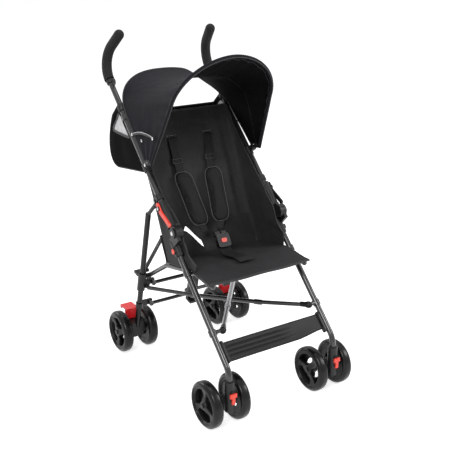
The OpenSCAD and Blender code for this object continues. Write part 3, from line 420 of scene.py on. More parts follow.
# Profiles in mm from the wheel's middle: half of the tyre, rim, hub, cap and inner flange
TYRE_HALF = ((0.0, 70.0), (3.5, 70.0), (7.5, 69.6), (10.6, 68.4), (13.2, 66.2), (15.2, 63.2), (16.4, 60.2),
             (16.9, 58.4), (16.7, 57.4), (15.3, 56.8), (15.2, 56.0), (16.3, 55.2), (16.2, 54.2), (15.4, 53.2),
             (14.0, 52.6))
RIM = ((-13.4, 52.8), (-13.7, 51.0), (-12.4, 49.4), (-9.0, 48.4), (9.0, 48.4), (12.4, 49.4), (13.7, 51.0),
       (13.4, 52.8), (-13.4, 52.8))
HUB_SHAPE = ((-16.4, 0.05), (-16.4, 7.0), (-15.8, 8.4), (-14.6, 9.0), (-14.4, 13.0), (-13.2, 14.4),
             (-8, 15.4), (8, 15.4), (13.2, 14.4), (14.4, 13.0), (14.6, 9.0), (15.8, 8.4), (16.4, 7.0),
             (16.4, 0.05))
CAP = ((16.5, 6.6), (17.0, 6.2), (17.6, 4.6), (17.9, 2.6), (18.0, 0.05))
FLANGE = ((-7.5, 49), (-7.5, 31.5), (-8.5, 30.6), (-10.5, 30.6), (-11.5, 31.5), (-11.5, 49), (-7.5, 49))
SPOKES, SPOKE_STEPS, SPOKE_EDGE, SPOKE_OUT = 3, 8, 2.2, 3.6


def wheel_build(centre, face, turn):
    """Tyre, rim, three spokes and a capped hub about X; face is the side that carries the cap."""
    b = Build()
    prof = mm(TYRE_HALF[::-1], -1)
    prof += mm(TYRE_HALF[1:]) + [(0.014, 0.0505), (-0.014, 0.0505), prof[0]]
    b.lathe(prof, centre, X_AXIS, 0, 72)
    b.lathe(mm(RIM), centre, X_AXIS, 1, 72)
    b.lathe(mm(HUB_SHAPE), centre, X_AXIS, 1, 48)
    for k in range(SPOKES):
        ang = math.radians(90 + turn + 360 / SPOKES * k)
        d = Vector((0, math.cos(ang), math.sin(ang)))
        side = Vector((0, -math.sin(ang), math.cos(ang)))
        rows = []
        for i in range(SPOKE_STEPS + 1):
            f = i / SPOKE_STEPS
            r = mix(13.5, 49.6, f)
            w = mix(9.5, 7.2, ease(0, 0.5, f)) + 5.5 * ease(0.55, 1.0, f)
            h = mix(10.5, 6.0, ease(0, 0.5, f)) + 3.0 * ease(0.6, 1.0, f)
            e = SPOKE_EDGE
            sec = [(-w, -h + e), (-w + e, -h), (w - e, -h), (w, -h + e),
                   (w, h - e), (w - e, h), (-w + e, h), (-w, h - e)]
            rows.append([centre + d * r / 1000 + side * s / 1000 + X_AXIS * (x + face * SPOKE_OUT) / 1000
                         for s, x in sec])
        b.grid(rows, 1, wrap=True)
    b.lathe(mm(CAP, face), centre, X_AXIS, 1, 32)
    b.lathe(mm(FLANGE, face), centre, X_AXIS, 1, 64)
    return b


for end, y in AXLE_Y.items():
    for side_name, sg in SIDES:
        for place, s in (("outer", 1), ("inner", -1)):
            node = f"{end}_wheel_{place}_{side_name}"
            b = wheel_build(P(sg * (SIDE_X + s * WHEEL_OFF), y, WHEEL_R), sg * s, SPOKE_TURN[end, side_name])
            ob = b.piece("dressed_" + node, [tyre_mat, hub_mat], node)
            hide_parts(node)


# Canopy: the front panel rides on the bow and slides back over the rear panel

PIVOT = (121, 678)
A_STEPS, HEM_STEPS, ROUND_STEPS = 96, 30, 96
SAG = 44.0
# Each edge: half width of the arch, height where it springs, height of its top, lean, offset forward,
# half width low down, roundness and height of the hem
EDGES = ((172.5, 211.0, 357.5, 24.3, 29.9, 196.0, 1.05, 9.0),
         (190.0, 159.7, 340.6, -45.0, -10.0, 197.3, 0.82, 7.0))
# Roundness of the rear edge's left half, which hangs slack
SLACK = 1.15
PANEL_T, BINDING_R = 0.0014, 0.0022


def edge_line(e):
    """Front (0) or rear (1) edge from the right hem to the left, with the outward angle at each point."""
    half, spring, top, lean, fore, low, power, hem = EDGES[e]
    heights = [mix(hem, spring, i / HEM_STEPS) for i in range(HEM_STEPS)]
    flat = [(-mix(low, half, h / spring), h) for h in heights]
    side = flat[::-1]
    for i in range(ROUND_STEPS + 1):
        t = math.pi * (1 - i / ROUND_STEPS)
        c, s = math.cos(t), max(0.0, math.sin(t))
        bend = mix(power, SLACK, ease(0.3, 0.8, c)) if e else power
        flat.append((half * math.copysign(abs(c) ** bend, c), spring + (top - spring) * s ** bend))
    flat += [(-x, h) for x, h in side]
    flat = [Vector(p) for p in flat]
    total = length_of(flat)
    lean = math.radians(lean)
    out, k, run = [], 0, 0.0
    for i in range(A_STEPS + 1):
        want = min(total * i / A_STEPS, total - 1e-6)
        while run + (flat[k + 1] - flat[k]).length < want:
            run += (flat[k + 1] - flat[k]).length
            k += 1
        d = flat[k + 1] - flat[k]
        p = flat[k] + d * (want - run) / d.length
        wide = flat[min(k + 4, len(flat) - 1)] - flat[max(k - 3, 0)]
        out.append((P(p.x, PIVOT[0] - fore - p.y * math.sin(lean), PIVOT[1] + p.y * math.cos(lean)),
                    math.atan2(max(0.0, wide.x), -wide.y)))
    return out


FRONT_EDGE, REAR_EDGE = edge_line(0), edge_line(1)


def arch(u, k, lift=0.0):
    """Cloth runs straight between its edges at the sides and sinks over the crown."""
    (p, tp), (q, tq) = FRONT_EDGE[k], REAR_EDGE[k]
    t = mix(tp, tq, u)
    out = Vector((math.cos(t), 0, math.sin(t)))
    sink = SAG * 4 * u * (1 - u) * max(0.0, math.sin(t)) ** 1.5
    sink -= 36 * u * (1 - u) * ease(0.9, 1.0, abs(2 * k / A_STEPS - 1))
    return mix(p, q, u) + out * lift / 1000 - Vector((0, 0, sink / 1000))


def canopy_lift(u, a):
    """Fabric puckers a little at the front hem and draws soft folds to the low corners."""
    pucker = 1.8 * u / 0.06 * math.exp(1 - u / 0.06) * math.sin(62 * a + 2 * math.sin(9 * a))
    low = 1.3 * ease(0.55, 0.95, abs(a)) * math.sin(22 * u + 5 * a)
    side = -5.0 * math.sin(math.pi * u) * ease(0.1, 0.5, abs(a)) * (1 - ease(0.6, 1.0, abs(a)))
    return pucker + low + side


def canopy_rows(u0, u1, steps, out):
    """Grid of a panel between two shares of the way back, moved out by that many mm."""
    return [[arch(u, k, canopy_lift(u, 2 * k / A_STEPS - 1) + out) for k in range(A_STEPS + 1)]
            for u in [mix(u0, u1, i / steps) for i in range(steps + 1)]]


front_rows = canopy_rows(0.0, 0.53, 26, 0.8)
b = Build()
b.shell(front_rows, PANEL_T, 0, 1, 2)
b.tube(front_rows[0], 0.0056, 0, 14)
b.tube([p + Vector((0, -0.0050, -0.0022)) for p in front_rows[0]], 0.0016, 2, 8)
b.tube(front_rows[2], 0.0012, 2, 8)
for k in (0, A_STEPS):
    b.tube([r[k] for r in front_rows], BINDING_R, 2, 8)
canopy_front = folds(b.piece("canopy_front_panel", [canopy_mat, lining_mat, trim_mat], "canopy_bow"))
declare(canopy_front)

rear_rows = canopy_rows(0.45, 1.0, 24, -0.8)
b = Build()
b.shell(rear_rows, PANEL_T, 0, 1, 2)
b.tube(rear_rows[-1], 0.0024, 2, 10)
for k in (0, A_STEPS):
    b.tube([r[k] for r in rear_rows], BINDING_R, 2, 8)
canopy_rear = folds(b.piece("canopy_rear_panel", [canopy_mat, lining_mat, trim_mat], "seat"))
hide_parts("canopy_fabric")
declare(canopy_rear)

BOW_X, STAY_X = 196.3, 195.5
BOW_FOOT = ((120, 683), (112, 685.5), (98, 686))
STAY = ((214, 752), (174, 764), (140, 769), (104, 769), (74, 766))
EYE = ((-3, 4.2), (-3, 8.4), (-2.4, 9.0), (2.4, 9.0), (3, 8.4), (3, 4.2), (-3, 4.2))
BOLT = ((-0.5, 4.4), (1.2, 4.4), (2.0, 3.2), (2.3, 0.1))

b = Build()
bow_pts = [P(-BOW_X - k, *c) for k, c in enumerate(BOW_FOOT)] + [p for p, t in FRONT_EDGE]
bow_pts += [P(BOW_X + 2 - k, *c) for k, c in enumerate(BOW_FOOT[::-1])]
b.tube(bow_pts, 0.0042, 0, 12)
bow = folds(b.piece("canopy_bow_wire", [plastic_mat], "canopy_bow"))
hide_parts("canopy_bow")
for side_name, sg in SIDES:
    b = Build()
    b.lathe(mm(EYE), P(sg * BOW_X, *PIVOT), X_AXIS, 0, 40)
    neck = [P(sg * BOW_X, 118, 684), P(sg * (BOW_X + 1), 112, 685.5), P(sg * (BOW_X + 2), 99, 686)]
    b.tube(neck, 0.0056, 0, 14)
    folds(b.piece("canopy_bow_eye_" + side_name, [plastic_mat], "canopy_bow"))
    b = Build()
    stay = smooth_path([P(sg * STAY_X, *c) for c in STAY], 6)
    b.ribbon(stay, Z_AXIS, 0.0075, 0.0022, 0)
    # A thin light line along the stay's top edge: painted highlight
    b.tube([p + Vector((sg * 0.0006, 0, 0.0036)) for p in stay], 0.0010, 2, 8)
    for c in (stay[1], stay[23], P(sg * 193, 152, 745)):
        b.lathe(mm(BOLT), c + X_AXIS * sg * 0.001, X_AXIS * sg, 1, 20)
    ob = folds(b.piece("canopy_stay_" + side_name, [plastic_mat, steel_mat, highlight_mat], "seat"))


# Rear flap, with a net window in each side panel

# A point of the handle's axis, and the flap's outline behind it
HANDLE = (-29.0195, 499.0197)
FLAP_CURVE = ((355, 789), (397, 710), (400, 624), (326, 624))
FLAP_HALF, FLAP_ROWS, FLAP_COLS = 190.0, 28, 64


def on_handle(s, back=0.0, x=SIDE_X):
    """The place s mm up the handle and back mm behind it."""
    k = math.sqrt(0.5)
    return (x, HANDLE[0] + (s + back) * k, HANDLE[1] + (s - back) * k)


def flap_back(t):
    c = [Vector(p) for p in FLAP_CURVE]
    return (1 - t) ** 3 * c[0] + 3 * (1 - t) ** 2 * t * c[1] + 3 * (1 - t) * t * t * c[2] + t ** 3 * c[3]


def flap_edge(t):
    e = on_handle(mix(474, 226, t), 13.5)
    return Vector((e[1], e[2]))


def flap_wave(t, u):
    return 6.5 * t ** 1.3 * (1 - math.cos(8 * math.pi * u)) / 2 + 1.2 * math.sin(21 * u + 5 * t) * t


flap_rows = []
for i in range(FLAP_ROWS + 1):
    t = i / FLAP_ROWS
    p, q = flap_back(max(0, t - 0.01)), flap_back(min(1, t + 0.01))
    d = (q - p).normalized()
    n = Vector((-d.y, d.x))
    row = []
    for j in range(FLAP_COLS + 1):
        u = j / FLAP_COLS
        c = flap_back(t) - n * (flap_wave(t, u) * math.sin(math.pi * u) ** 0.25 if 0 < u < 1 else 0)
        row.append(P(FLAP_HALF * (2 * u - 1), c.x, c.y))
    flap_rows.append(row)
b = Build()
b.shell(flap_rows, PANEL_T)
b.tube(flap_rows[0], 0.0026, 1, 10)
b.tube(flap_rows[-1], 0.0026, 1, 10)
flap = folds(b.piece("rear_flap_panel", [flap_mat, trim_mat], "seat"))
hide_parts("rear_flap")
declare(flap)

WINDOW = ((303, 801), (326, 781), (352, 748), (346, 739), (300, 737), (250, 737), (244, 742), (272, 771))
outline = [flap_edge(i / 24) for i in range(25)]
outline += [mix(flap_edge(1), flap_back(1), i / 12) for i in range(1, 12)]
outline += [flap_back(1 - i / 36) for i in range(37)]
hub_pt = Vector((300, 765))


def ray_hit(loop, ang):
    """Where a ray from the window's middle first meets a closed outline."""
    d = Vector((math.cos(ang), math.sin(ang)))
    best = None
    for a, c in zip(loop, loop[1:] + loop[:1]):
        e = c - a
        det = d.x * -e.y + e.x * d.y
        if abs(det) < 1e-9:
            continue
        r = a - hub_pt
        s = (r.x * -e.y + e.x * r.y) / det
        t = (d.x * r.y - d.y * r.x) / det
        if s > 0 and -1e-6 <= t <= 1 + 1e-6 and (best is None or s < best):
            best = s
    return hub_pt + d * best


window = [Vector(p.xy) for p in smooth_path([Vector((*p, 0)) for p in WINDOW], 6, True)]
RING, NET_TUCK = 144, 2.5
inner_ring = [ray_hit(window, 2 * math.pi * i / RING) for i in range(RING)]
outer_ring = [ray_hit(outline, 2 * math.pi * i / RING) for i in range(RING)]
for side_name, sg in SIDES:
    rows = []
    for k in range(9):
        f = k / 8
        puff = 3.0 * math.sin(math.pi * f)
        ring = [P(sg * (FLAP_HALF + puff * (0.6 + 0.4 * math.sin(5 * i * 2 * math.pi / RING))),
                  *mix(outer_ring[i], inner_ring[i], f)) for i in range(RING)]
        rows.append(ring + [ring[0]])
    b = Build()
    b.shell(rows, PANEL_T)
    loop = rows[-1][:-1]
    b.sweep(loop, [(-0.004, -0.0012), (0.004, -0.0012), (0.004, 0.0012), (-0.004, 0.0012)], 1, True,
            [(P(sg * FLAP_HALF, *hub_pt) - p).normalized() for p in loop])
    b.tube(rows[0][:-1], BINDING_R, 1, 8, True)
    panel = folds(b.piece("rear_flap_side_" + side_name, [flap_mat, trim_mat], "seat"))
    b = Build()
    net_rows = []
    for k in range(7):
        f = k / 6 * 0.985
        ring = [P(sg * (FLAP_HALF - 1.0), *mix(p + (p - hub_pt).normalized() * NET_TUCK, hub_pt, f))
                for p in inner_ring]
        net_rows.append(ring + [ring[0]])
    b.shell(net_rows, 0.0006)
    net = folds(b.piece("flap_window_" + side_name, [net_mat], "seat"))


# Seat back with its wings

FOOT, TOP = (63, 380), (256, 800)
# The wing's front edge from below, and how far forward each side's wing comes
WING = ((-112, 408), (-128, 430), (-72, 452), (-46, 478), (-26, 522), (50, 584), (110, 640), (165, 693),
        (212, 742), (252, 797))
WING_END = {-1: -128, 1: -74}
SEAT_HALF = 171.0
BACK_LEN = math.hypot(TOP[0] - FOOT[0], TOP[1] - FOOT[1])
LEAN = math.atan2(TOP[0] - FOOT[0], TOP[1] - FOOT[1])


def upturn(x):
    """How far up the back the seat's rear edge is turned at that half width."""
    return 10 + (70 if x < 0 else 84) * ease(18 if x < 0 else 14, 92, abs(x))


def back_foot(x):
    """Where the lower hem of the seat back lies; it leaves a slit over the seat's rear edge on the right."""
    slit = 26 * (1 - ease(74, 90, -x)) * ease(24, 31, -x) if x < 0 else -8 * ease(4, 30, x)
    return (upturn(x) + slit - 22 * ease(92, 120, abs(x))) * (1 - ease(140, SEAT_HALF, abs(x)))


def on_back(x, s, front=0.0):
    """The place s mm up the seat back and front mm before it."""
    return P(x, FOOT[0] + s * math.sin(LEAN) - front * math.cos(LEAN),
             FOOT[1] + s * math.cos(LEAN) + front * math.sin(LEAN))


# Upright folds of the back: height, place, drift from foot to top, and width
BACK_FOLDS = ((4.6, 112, 8, 13), (-4.2, 138, 6, 11), (-2.6, 88, -10, 9), (1.8, 20, 40, 14))


def back_point(x, s):
    """Cloth of the back sags a little between its edges, with upright folds and ripples under the top hem."""
    f = s / BACK_LEN
    held = math.sin(math.pi * min(1, max(0, f)))
    sag = -2.0 * (1 - (x / SEAT_HALF) ** 2) * held ** 0.8
    fold = sum(h * math.exp(-((x - at - drift * f) / w) ** 2) for h, at, drift, w in BACK_FOLDS)
    fold += 1.0 * math.sin(0.05 * x + 9 * f) + 1.6 * math.sin(0.085 * x - 5 * f) * ease(0.3, 0.6, f)
    fold -= 1.3 * (1 - math.sin(40 * f + 0.022 * x)) * ease(0.66, 0.8, f) * (1 - ease(0.9, 0.98, f))
    return on_back(x, s, sag + fold * held)


# Places along the seat base and their heights: front edge, hump over the rails and rear edge
BASE_Y, BASE_Z = (-202, -97, 58), (400.3, 411.8, 381.0)


def base_top(y):
    """Height of the seat base at that place along the stroller."""
    if y < BASE_Y[1]:
        share = (y - BASE_Y[0]) / (BASE_Y[1] - BASE_Y[0])
        return mix(BASE_Z[0], BASE_Z[1], ease(BASE_Y[0], BASE_Y[1], y) * 0.5 + share * 0.5)
    return mix(BASE_Z[1], BASE_Z[2], (y - BASE_Y[1]) / (BASE_Y[2] - BASE_Y[1]))


def lip_x(z):
    """The wing's front edge lies beside the tube, and inside the knuckle where it passes that."""
    return 176.0 - 6 * (ease(440, 466, z) - ease(548, 574, z))


W_COLS, B_COLS, S_ROWS = 12, 56, 44
back_rows = []
for i in range(S_ROWS + 1):
    t = i / S_ROWS
    row = []
    for j in range(2 * W_COLS + B_COLS + 1):
        if W_COLS <= j <= W_COLS + B_COLS:
            x = SEAT_HALF * (2 * (j - W_COLS) / B_COLS - 1)
            row.append(back_point(x, mix(back_foot(x), BACK_LEN, t)))
        else:
            sg = -1 if j < W_COLS else 1
            v = (W_COLS - j) / W_COLS if sg < 0 else (j - W_COLS - B_COLS) / W_COLS
            edge = on_back(sg * SEAT_HALF, t * BACK_LEN)
            lip = along(WING, t)
            lip = (max(lip[0], WING_END[sg]), lip[1])
            p = mix(edge, P(sg * lip_x(lip[1]), *lip), v)
            p.x += sg * 0.002 * math.sin(math.pi * v) * math.sin(7 * t + 3)
            low = base_top(min(BASE_Y[2], p.y * 1000 + MID_Y)) / 1000 - 0.001
            p.z = mix(p.z, low, (1 - ease(0, 0.1, t)) * ease(0.0, 0.2, v))
            row.append(p)
    back_rows.append(row)
# The cloth rounds the corners where the wings leave the back
for _ in range(5):
    for row in back_rows:
        old = [p.copy() for p in row]
        for corner in (W_COLS, W_COLS + B_COLS):
            for j in range(corner - 4, corner + 5):
                row[j] = (old[j - 1] + old[j] * 2 + old[j + 1]) / 4
b = Build()
b.shell(back_rows, 0.0022)
b.tube(back_rows[0][W_COLS:W_COLS + B_COLS + 1], 0.0022, 1, 8)
b.tube(back_rows[-1], 0.0030, 1, 10)
for j in (0, 2 * W_COLS + B_COLS):
    b.tube([r[j] for r in back_rows], 0.0026, 1, 8)
for j in (W_COLS, W_COLS + B_COLS):
    b.tube([r[j] for r in back_rows[2:]], 0.0013, 1, 6)
seat_back = folds(b.piece("seat_back_panel", [back_lit_mat, trim_mat], "seat"))
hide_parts("seat_back")
declare(seat_back)


# Seat base, turned up against the back

BASE_HALF, FRONT_DROP, SIDE_DROP = 172.0, 3.0, 4.0
# Rows of the turned-down hem, of the flat and of the part turned up, and columns of the flat
HEM, FLAT, UP, COLS = 3, 30, 10, 48
base_rows = []
for i in range(-HEM, FLAT + UP + 1):
    row = []
    for j in range(-HEM, COLS + HEM + 1):
        u = max(-1.0, min(1.0, 2 * j / COLS - 1))
        turned = max(-j, j - COLS, 0)
        x = BASE_HALF * u
        if i <= FLAT:
            y = mix(BASE_Y[0], BASE_Y[2], max(i, 0) / FLAT)
            dip = 7.0 * (1 - u * u) * math.sin(math.pi * min(1, max(0, (y + 230) / 300)))
            half = 174.4 + 3 * (1 - ease(BASE_Y[0], -180, y)) - 2.4 * ease(-70, -40, y) + 0.4 * turned
            drop = mix(SIDE_DROP, FRONT_DROP, 1 - ease(-200, -150, y)) * (1 - ease(-120, -70, y)) + 0.6
            drop = max(drop * turned / HEM, FRONT_DROP * max(-i, 0) / HEM)
            z = base_top(y) - 1.5 - dip + 1.0 * math.sin(7 * u + y / 40) - drop
            row.append(P(half * u, y + 0.5 * min(i, 0), z))
        else:
            rise = (i - FLAT) / UP
            row.append(on_back(x * (1 + 0.002 * turned), mix(2, upturn(x), rise), 3.2 + 3.0 * (1 - rise)))
    base_rows.append(row)
b = Build()
b.shell(base_rows, 0.0024)
b.tube(base_rows[0], 0.0026, 1, 10)
b.tube(base_rows[HEM][HEM:COLS + HEM + 1], 0.0016, 1, 8)
b.tube(base_rows[-1], 0.0020, 1, 8)
for j in (0, COLS + 2 * HEM):
    b.tube([r[j] for r in base_rows[:HEM + FLAT + 1]], BINDING_R, 1, 8)
seat_base = folds(b.piece("seat_base_panel", [cloth_mat, trim_mat], "seat"))
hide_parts("seat_base")
declare(seat_base)


# Shoulder pads, swollen by a short cloth simulation

PAD_X, PAD_FRONT, PAD_S, PAD_LEN, PAD_W = (38, 57), (31, 14), 84, 180, 65
PAD_PUFF, PAD_ROWS, PAD_COLS, PIPING_STEPS, SWELL_FRAMES = 13.0, 36, 10, 120, 20


def pad_mid(f, across, front):
    """Across, up and before the back, at share f up a pad."""
    x = mix(PAD_X[0], PAD_X[1], f) + across
    return x, PAD_S + PAD_LEN * f, mix(PAD_FRONT[0], PAD_FRONT[1], f) + front


def pad_half(f):
    """Half width of a pad, round at both ends and drawn in at the middle."""
    e = abs(2 * f - 1)
    return PAD_W / 2 * math.sqrt(max(0.0, 1 - e ** 7)) * (1 - 0.06 * (1 - e * e))


def swell(ob, voxel, pressure, cap):
    """Voxel remesh, then a few frames of inflated cloth; a point moves at most cap."""
    mod = ob.modifiers.new("remesh", "REMESH")
    mod.mode = "VOXEL"
    mod.voxel_size = voxel
    bake(ob)
    rest = [v.co.copy() for v in ob.data.vertices]
    mod = ob.modifiers.new("cloth", "CLOTH")
    s = mod.settings
    s.quality = 5
    s.mass = 0.2
    s.tension_stiffness = s.compression_stiffness = 12
    s.bending_stiffness = 0.6
    s.use_pressure = True
    s.uniform_pressure_force = pressure
    s.effector_weights.gravity = 0
    for f in range(1, SWELL_FRAMES + 1):
        scene.frame_set(f)
    ev = ob.evaluated_get(bpy.context.evaluated_depsgraph_get())
    moved = [v.co.copy() for v in ev.data.vertices]
    ob.modifiers.remove(mod)
    scene.frame_set(1)
    for v, a, c in zip(ob.data.vertices, rest, moved):
        d = c - a
        if d.length > cap:
            d *= cap / d.length
        v.co = a + d


def bake(ob):
    """Turns the modifiers' result into the piece's own mesh."""
    ev = ob.evaluated_get(bpy.context.evaluated_depsgraph_get())
    me = bpy.data.meshes.new_from_object(ev)
    ob.modifiers.clear()
    ob.data = me


for side_name, sg in SIDES:
    b = Build()
    rows = []
    for i in range(PAD_ROWS + 1):
        f = i / PAD_ROWS
        w = max(pad_half(f), 0.4)
        front, back = [], []
        for j in range(PAD_COLS + 1):
            v = 2 * j / PAD_COLS - 1
            puff = PAD_PUFF * (1 - abs(v) ** 3) * math.sqrt(max(0.0, 1 - abs(2 * f - 1) ** 7))
            x, s, fr = pad_mid(f, v * w, 2.0)
            back.append(on_back(sg * x, s, fr - 0.6))
            front.append(on_back(sg * x, s, fr + puff))
        rows.append(front + back[::-1])
    b.grid(rows, 0, wrap=True)
    n = len(rows[0])
    b.add(rows[0], [list(range(n))], 0)
    b.add(rows[-1], [list(range(n))[::-1]], 0)
    pad = b.piece("shoulder_pad_cover_" + side_name, [pad_mat])
    swell(pad, 0.0046, 4.0, 0.005)
    sub = pad.modifiers.new("smooth", "SUBSURF")
    sub.levels = 1
    bake(pad)
    pad.data.materials.clear()
    pad.data.materials.append(pad_mat)
    pad.data.polygons.foreach_set("use_smooth", [True] * len(pad.data.polygons))
    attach(pad, "seat")
    folds(pad)
    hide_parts("shoulder_pad_" + side_name)
    b = Build()
    loop = []
    for k in range(PIPING_STEPS):
        t = k / PIPING_STEPS
        f = mix(0.012, 0.988, 0.5 - 0.5 * math.cos(2 * math.pi * t))
        w = pad_half(f) * (1 if t < 0.5 else -1)
        x, s, fr = pad_mid(f, w * 1.02, 4.0)
        loop.append(on_back(sg * x, s, fr))
    b.tube(loop, 0.0010, 0, 8, True)
    trim = folds(b.piece("pad_piping_" + side_name, [stitch_mat], "seat"))


# Harness webbing

STRAP_W, LOW_STRAP_W, STRAP_T, SLIDER_R = 0.028, 0.024, 0.0018, 0.0022


def webbing(b, pts, w):
    """A strap along pts with a rolled edge on both sides."""
    path = smooth_path(pts, 8)
    b.ribbon(path, X_AXIS, w, STRAP_T, 0)
    for s in (-1, 1):
        d = X_AXIS * s * (w / 2 - 0.0025)
        b.tube([p + d for p in path], 0.0011, 0, 6)


BUCKLE = (4, 432)
BUCKLE_LEAN = math.radians(30)


def at_buckle(x, back, up):
    """A place beside the middle of the buckle, along its own lean."""
    return P(x, BUCKLE[0] + back * math.cos(BUCKLE_LEAN) + up * math.sin(BUCKLE_LEAN),
             BUCKLE[1] - back * math.sin(BUCKLE_LEAN) + up * math.cos(BUCKLE_LEAN))


SLOT_X, SLOT_SHIFT, SLOT_S = 67, 12.5, 374
for side_name, sg in SIDES:
    mid, pad_top = sg * SLOT_X + SLOT_SHIFT, sg * PAD_X[1]
    top = [on_back(mid, 379, -6.0), on_back(mid, 372, 2.5), on_back(mix(mid, pad_top, 0.4), 330, 6.0),
           on_back(mix(mid, pad_top, 0.9), 280, 11.0), on_back(pad_top, 255, 13.0)]
    b = Build()
    webbing(b, top, STRAP_W)
    low = [on_back(sg * 36, 100, 30.0), on_back(sg * 33, 80, 31.5), on_back(sg * 26, 62, 34.0),
           at_buckle(sg * 15, 9, 27), at_buckle(sg * 12.5, 9.5, 18)]
    webbing(b, low, LOW_STRAP_W)
    slider = [on_back(mix(mid, pad_top, 0.64), 306, 9.4), on_back(mix(mid, pad_top, 0.78), 292, 10.8)]
    for p in slider:
        b.tube([p + X_AXIS * d for d in (-0.0175, -0.006, 0.006, 0.0175)], SLIDER_R, 1, 8)
    for s in (-1, 1):
        e = X_AXIS * 0.0165 * s
        b.tube([slider[0] + e, slider[1] + e], SLIDER_R, 1, 8)
    hem = [on_back(mid + dx, SLOT_S + dz, 0.3) for dx, dz in ((-19, -5), (19, -5), (19, 5), (-19, 5))]
    b.tube(smooth_path(hem, 4, True), 0.0014, 2, 6, True)
    for k in range(4):
        x = mid - 16 + 9.2 * k
        dash = [on_back(x + dx, SLOT_S + 10, front) for dx, front in ((0, 0.9), (2.6, 1.3), (5.2, 0.9))]
        b.tube(dash, 0.0007, 3, 6)
    ob = folds(b.piece("harness_strap_" + side_name, [web_mat, plastic_mat, trim_mat, thread_mat], "seat"))
    if side_name == "right":
        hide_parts("harness_straps")
    tongue = Build()
    t0 = [at_buckle(sg * 12, 3, 30), at_buckle(sg * 11.5, 2, 24), at_buckle(sg * 11, 0, 16)]
    tongue.ribbon(t0, X_AXIS, 0.018, 0.005, 0)
    tongue.piece("harness_tongue_" + side_name, [plastic_mat], "harness_buckle")

crotch = [at_buckle(0, 9.5, 4), at_buckle(0, 9.5, -14), P(0, -14, 405), P(0, -40, 401.5), P(0, -80, 408.5),
          P(0, -128, 411.5)]
b = Build()
path = smooth_path(crotch, 10)
b.ribbon(path, X_AXIS, 0.044, 0.0034, 0)
for s in (-1, 1):
    b.tube([p + X_AXIS * s * 0.0185 for p in path], 0.0019, 1, 6)
tab = [path[-1] + Vector((0, y, z)) for y, z in ((0.022, 0.0018), (0.008, 0.0024), (-0.004, 0.0016))]
b.ribbon(tab, X_AXIS, 0.054, 0.0028, 1)
ob = folds(b.piece("crotch_strap", [web_mat, trim_mat], "seat"))

b = Build()
rim = [at_buckle(20.6 * math.copysign(abs(math.cos(t)) ** 0.25, math.cos(t)), -8.1,
                 19.6 * math.copysign(abs(math.sin(t)) ** 0.25, math.sin(t)))
       for t in [2 * math.pi * k / 48 for k in range(48)]]
b.tube(rim, 0.0012, 0, 6, True)
b.piece("buckle_rim", [stitch_mat], "harness_buckle")


# Footrest strap with three ribs, held by a clamp bar on each leg

# A point of the front legs' axis
LEG = (-12.5442, 482.5442)
STRAP_STEPS, STRAP_TOP, STRAP_WIDE, STRAP_KEEP = 60, -345, 55, 0.407


def on_leg(x, s, front=0.0):
    """The place s mm up the front leg and front mm before it."""
    k = math.sqrt(0.5)
    return P(x, LEG[0] + s * k - front * k, LEG[1] + s * k + front * k)


rows = []
for i in range(STRAP_STEPS + 1):
    f = i / STRAP_STEPS
    rib = sum(3.0 * math.exp(-((f - c) / 0.034) ** 2) for c in (0.25, 0.5, 0.75))
    row = []
    for j in range(STRAP_STEPS + 1):
        u = 2 * j / STRAP_STEPS - 1
        s = STRAP_TOP - (STRAP_WIDE - 9 * ease(0.4, 1.0, u)) * f
        show = ease(-0.97, -0.9, u) * (1 - ease(0.0, 0.5, u))
        row.append(on_leg(174 * u - 1, s, rib * show - 2.5 - 2.0 * (1 - u * u) * math.sin(math.pi * f)))
    rows.append(row)
b = Build()
b.shell(rows, 0.0030)
b.tube(rows[0], BINDING_R, 0, 8)
b.tube(rows[-1], BINDING_R, 0, 8)
ob = folds(b.piece("footrest_strap", [vinyl_mat], "front_leg_right"))
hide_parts("footrest")
declare(ob)
# Places along a clamp bar with its size there, its section, and the screws in it
CLAMP = ((-338, 0.72), (-341, 1.0), (-352, 1.0), (-372, 1.0), (-392, 1.0), (-401, 1.0), (-404, 0.72))
CLAMP_EDGE = ((4.2, -6.5), (4.2, 6.5), (3.0, 8.0), (-3.0, 8.0), (-4.2, 6.5), (-4.2, -6.5), (-3.0, -8.0),
              (3.0, -8.0))
SCREW = ((-1.0, 4.2), (0.8, 4.2), (1.6, 3.4), (1.9, 0.2))


def clamp_section(t):
    grow = CLAMP[round(t * (len(CLAMP) - 1))][1]
    return [(x * grow / 1000, y * grow / 1000) for x, y in CLAMP_EDGE]


for side_name, sg in SIDES:
    b = Build()
    b.sweep([on_leg(sg * 174.6, s, -2.5) for s, grow in CLAMP], clamp_section, 0, wide=X_AXIS)
    for s in (-356, -388):
        b.lathe(mm(SCREW), on_leg(sg * 170.4, s, -2.5), X_AXIS * -sg, 0, 20)
    b.piece("footrest_clamp_" + side_name, [plastic_mat], "front_leg_" + side_name)


# Rivets and small trim on the frame

BUTTON = ((-2, 8.8), (1.2, 8.8), (2.2, 7.8), (2.7, 4.5), (2.8, 0.1))
COLLAR = ((-7, 9.1), (-7, 12.2), (-6, 13.0), (6, 13.0), (7, 12.2), (7, 9.1), (-7, 9.1))
CLIP = ((-12, 9.1), (-12, 11.6), (-10.5, 12.8), (4, 12.8), (5.5, 11.2), (12, 11.0), (12, 9.1), (-12, 9.1))
BOOT = ((-13, 0.1), (-12.4, 3.6), (-10.6, 6.8), (-7.6, 9.2), (-4, 10.4), (0, 10.6), (4, 10.0), (7, 8.8),
        (9, 8.2), (24, 8.0), (25, 7.4), (25, 5.0))
HANDLE_UP = Vector((0, math.sqrt(0.5), math.sqrt(0.5)))
HANDLE_FORE = Vector((0, -HANDLE_UP.z, HANDLE_UP.y))
RING_STEPS, RING_R = 32, 0.0095


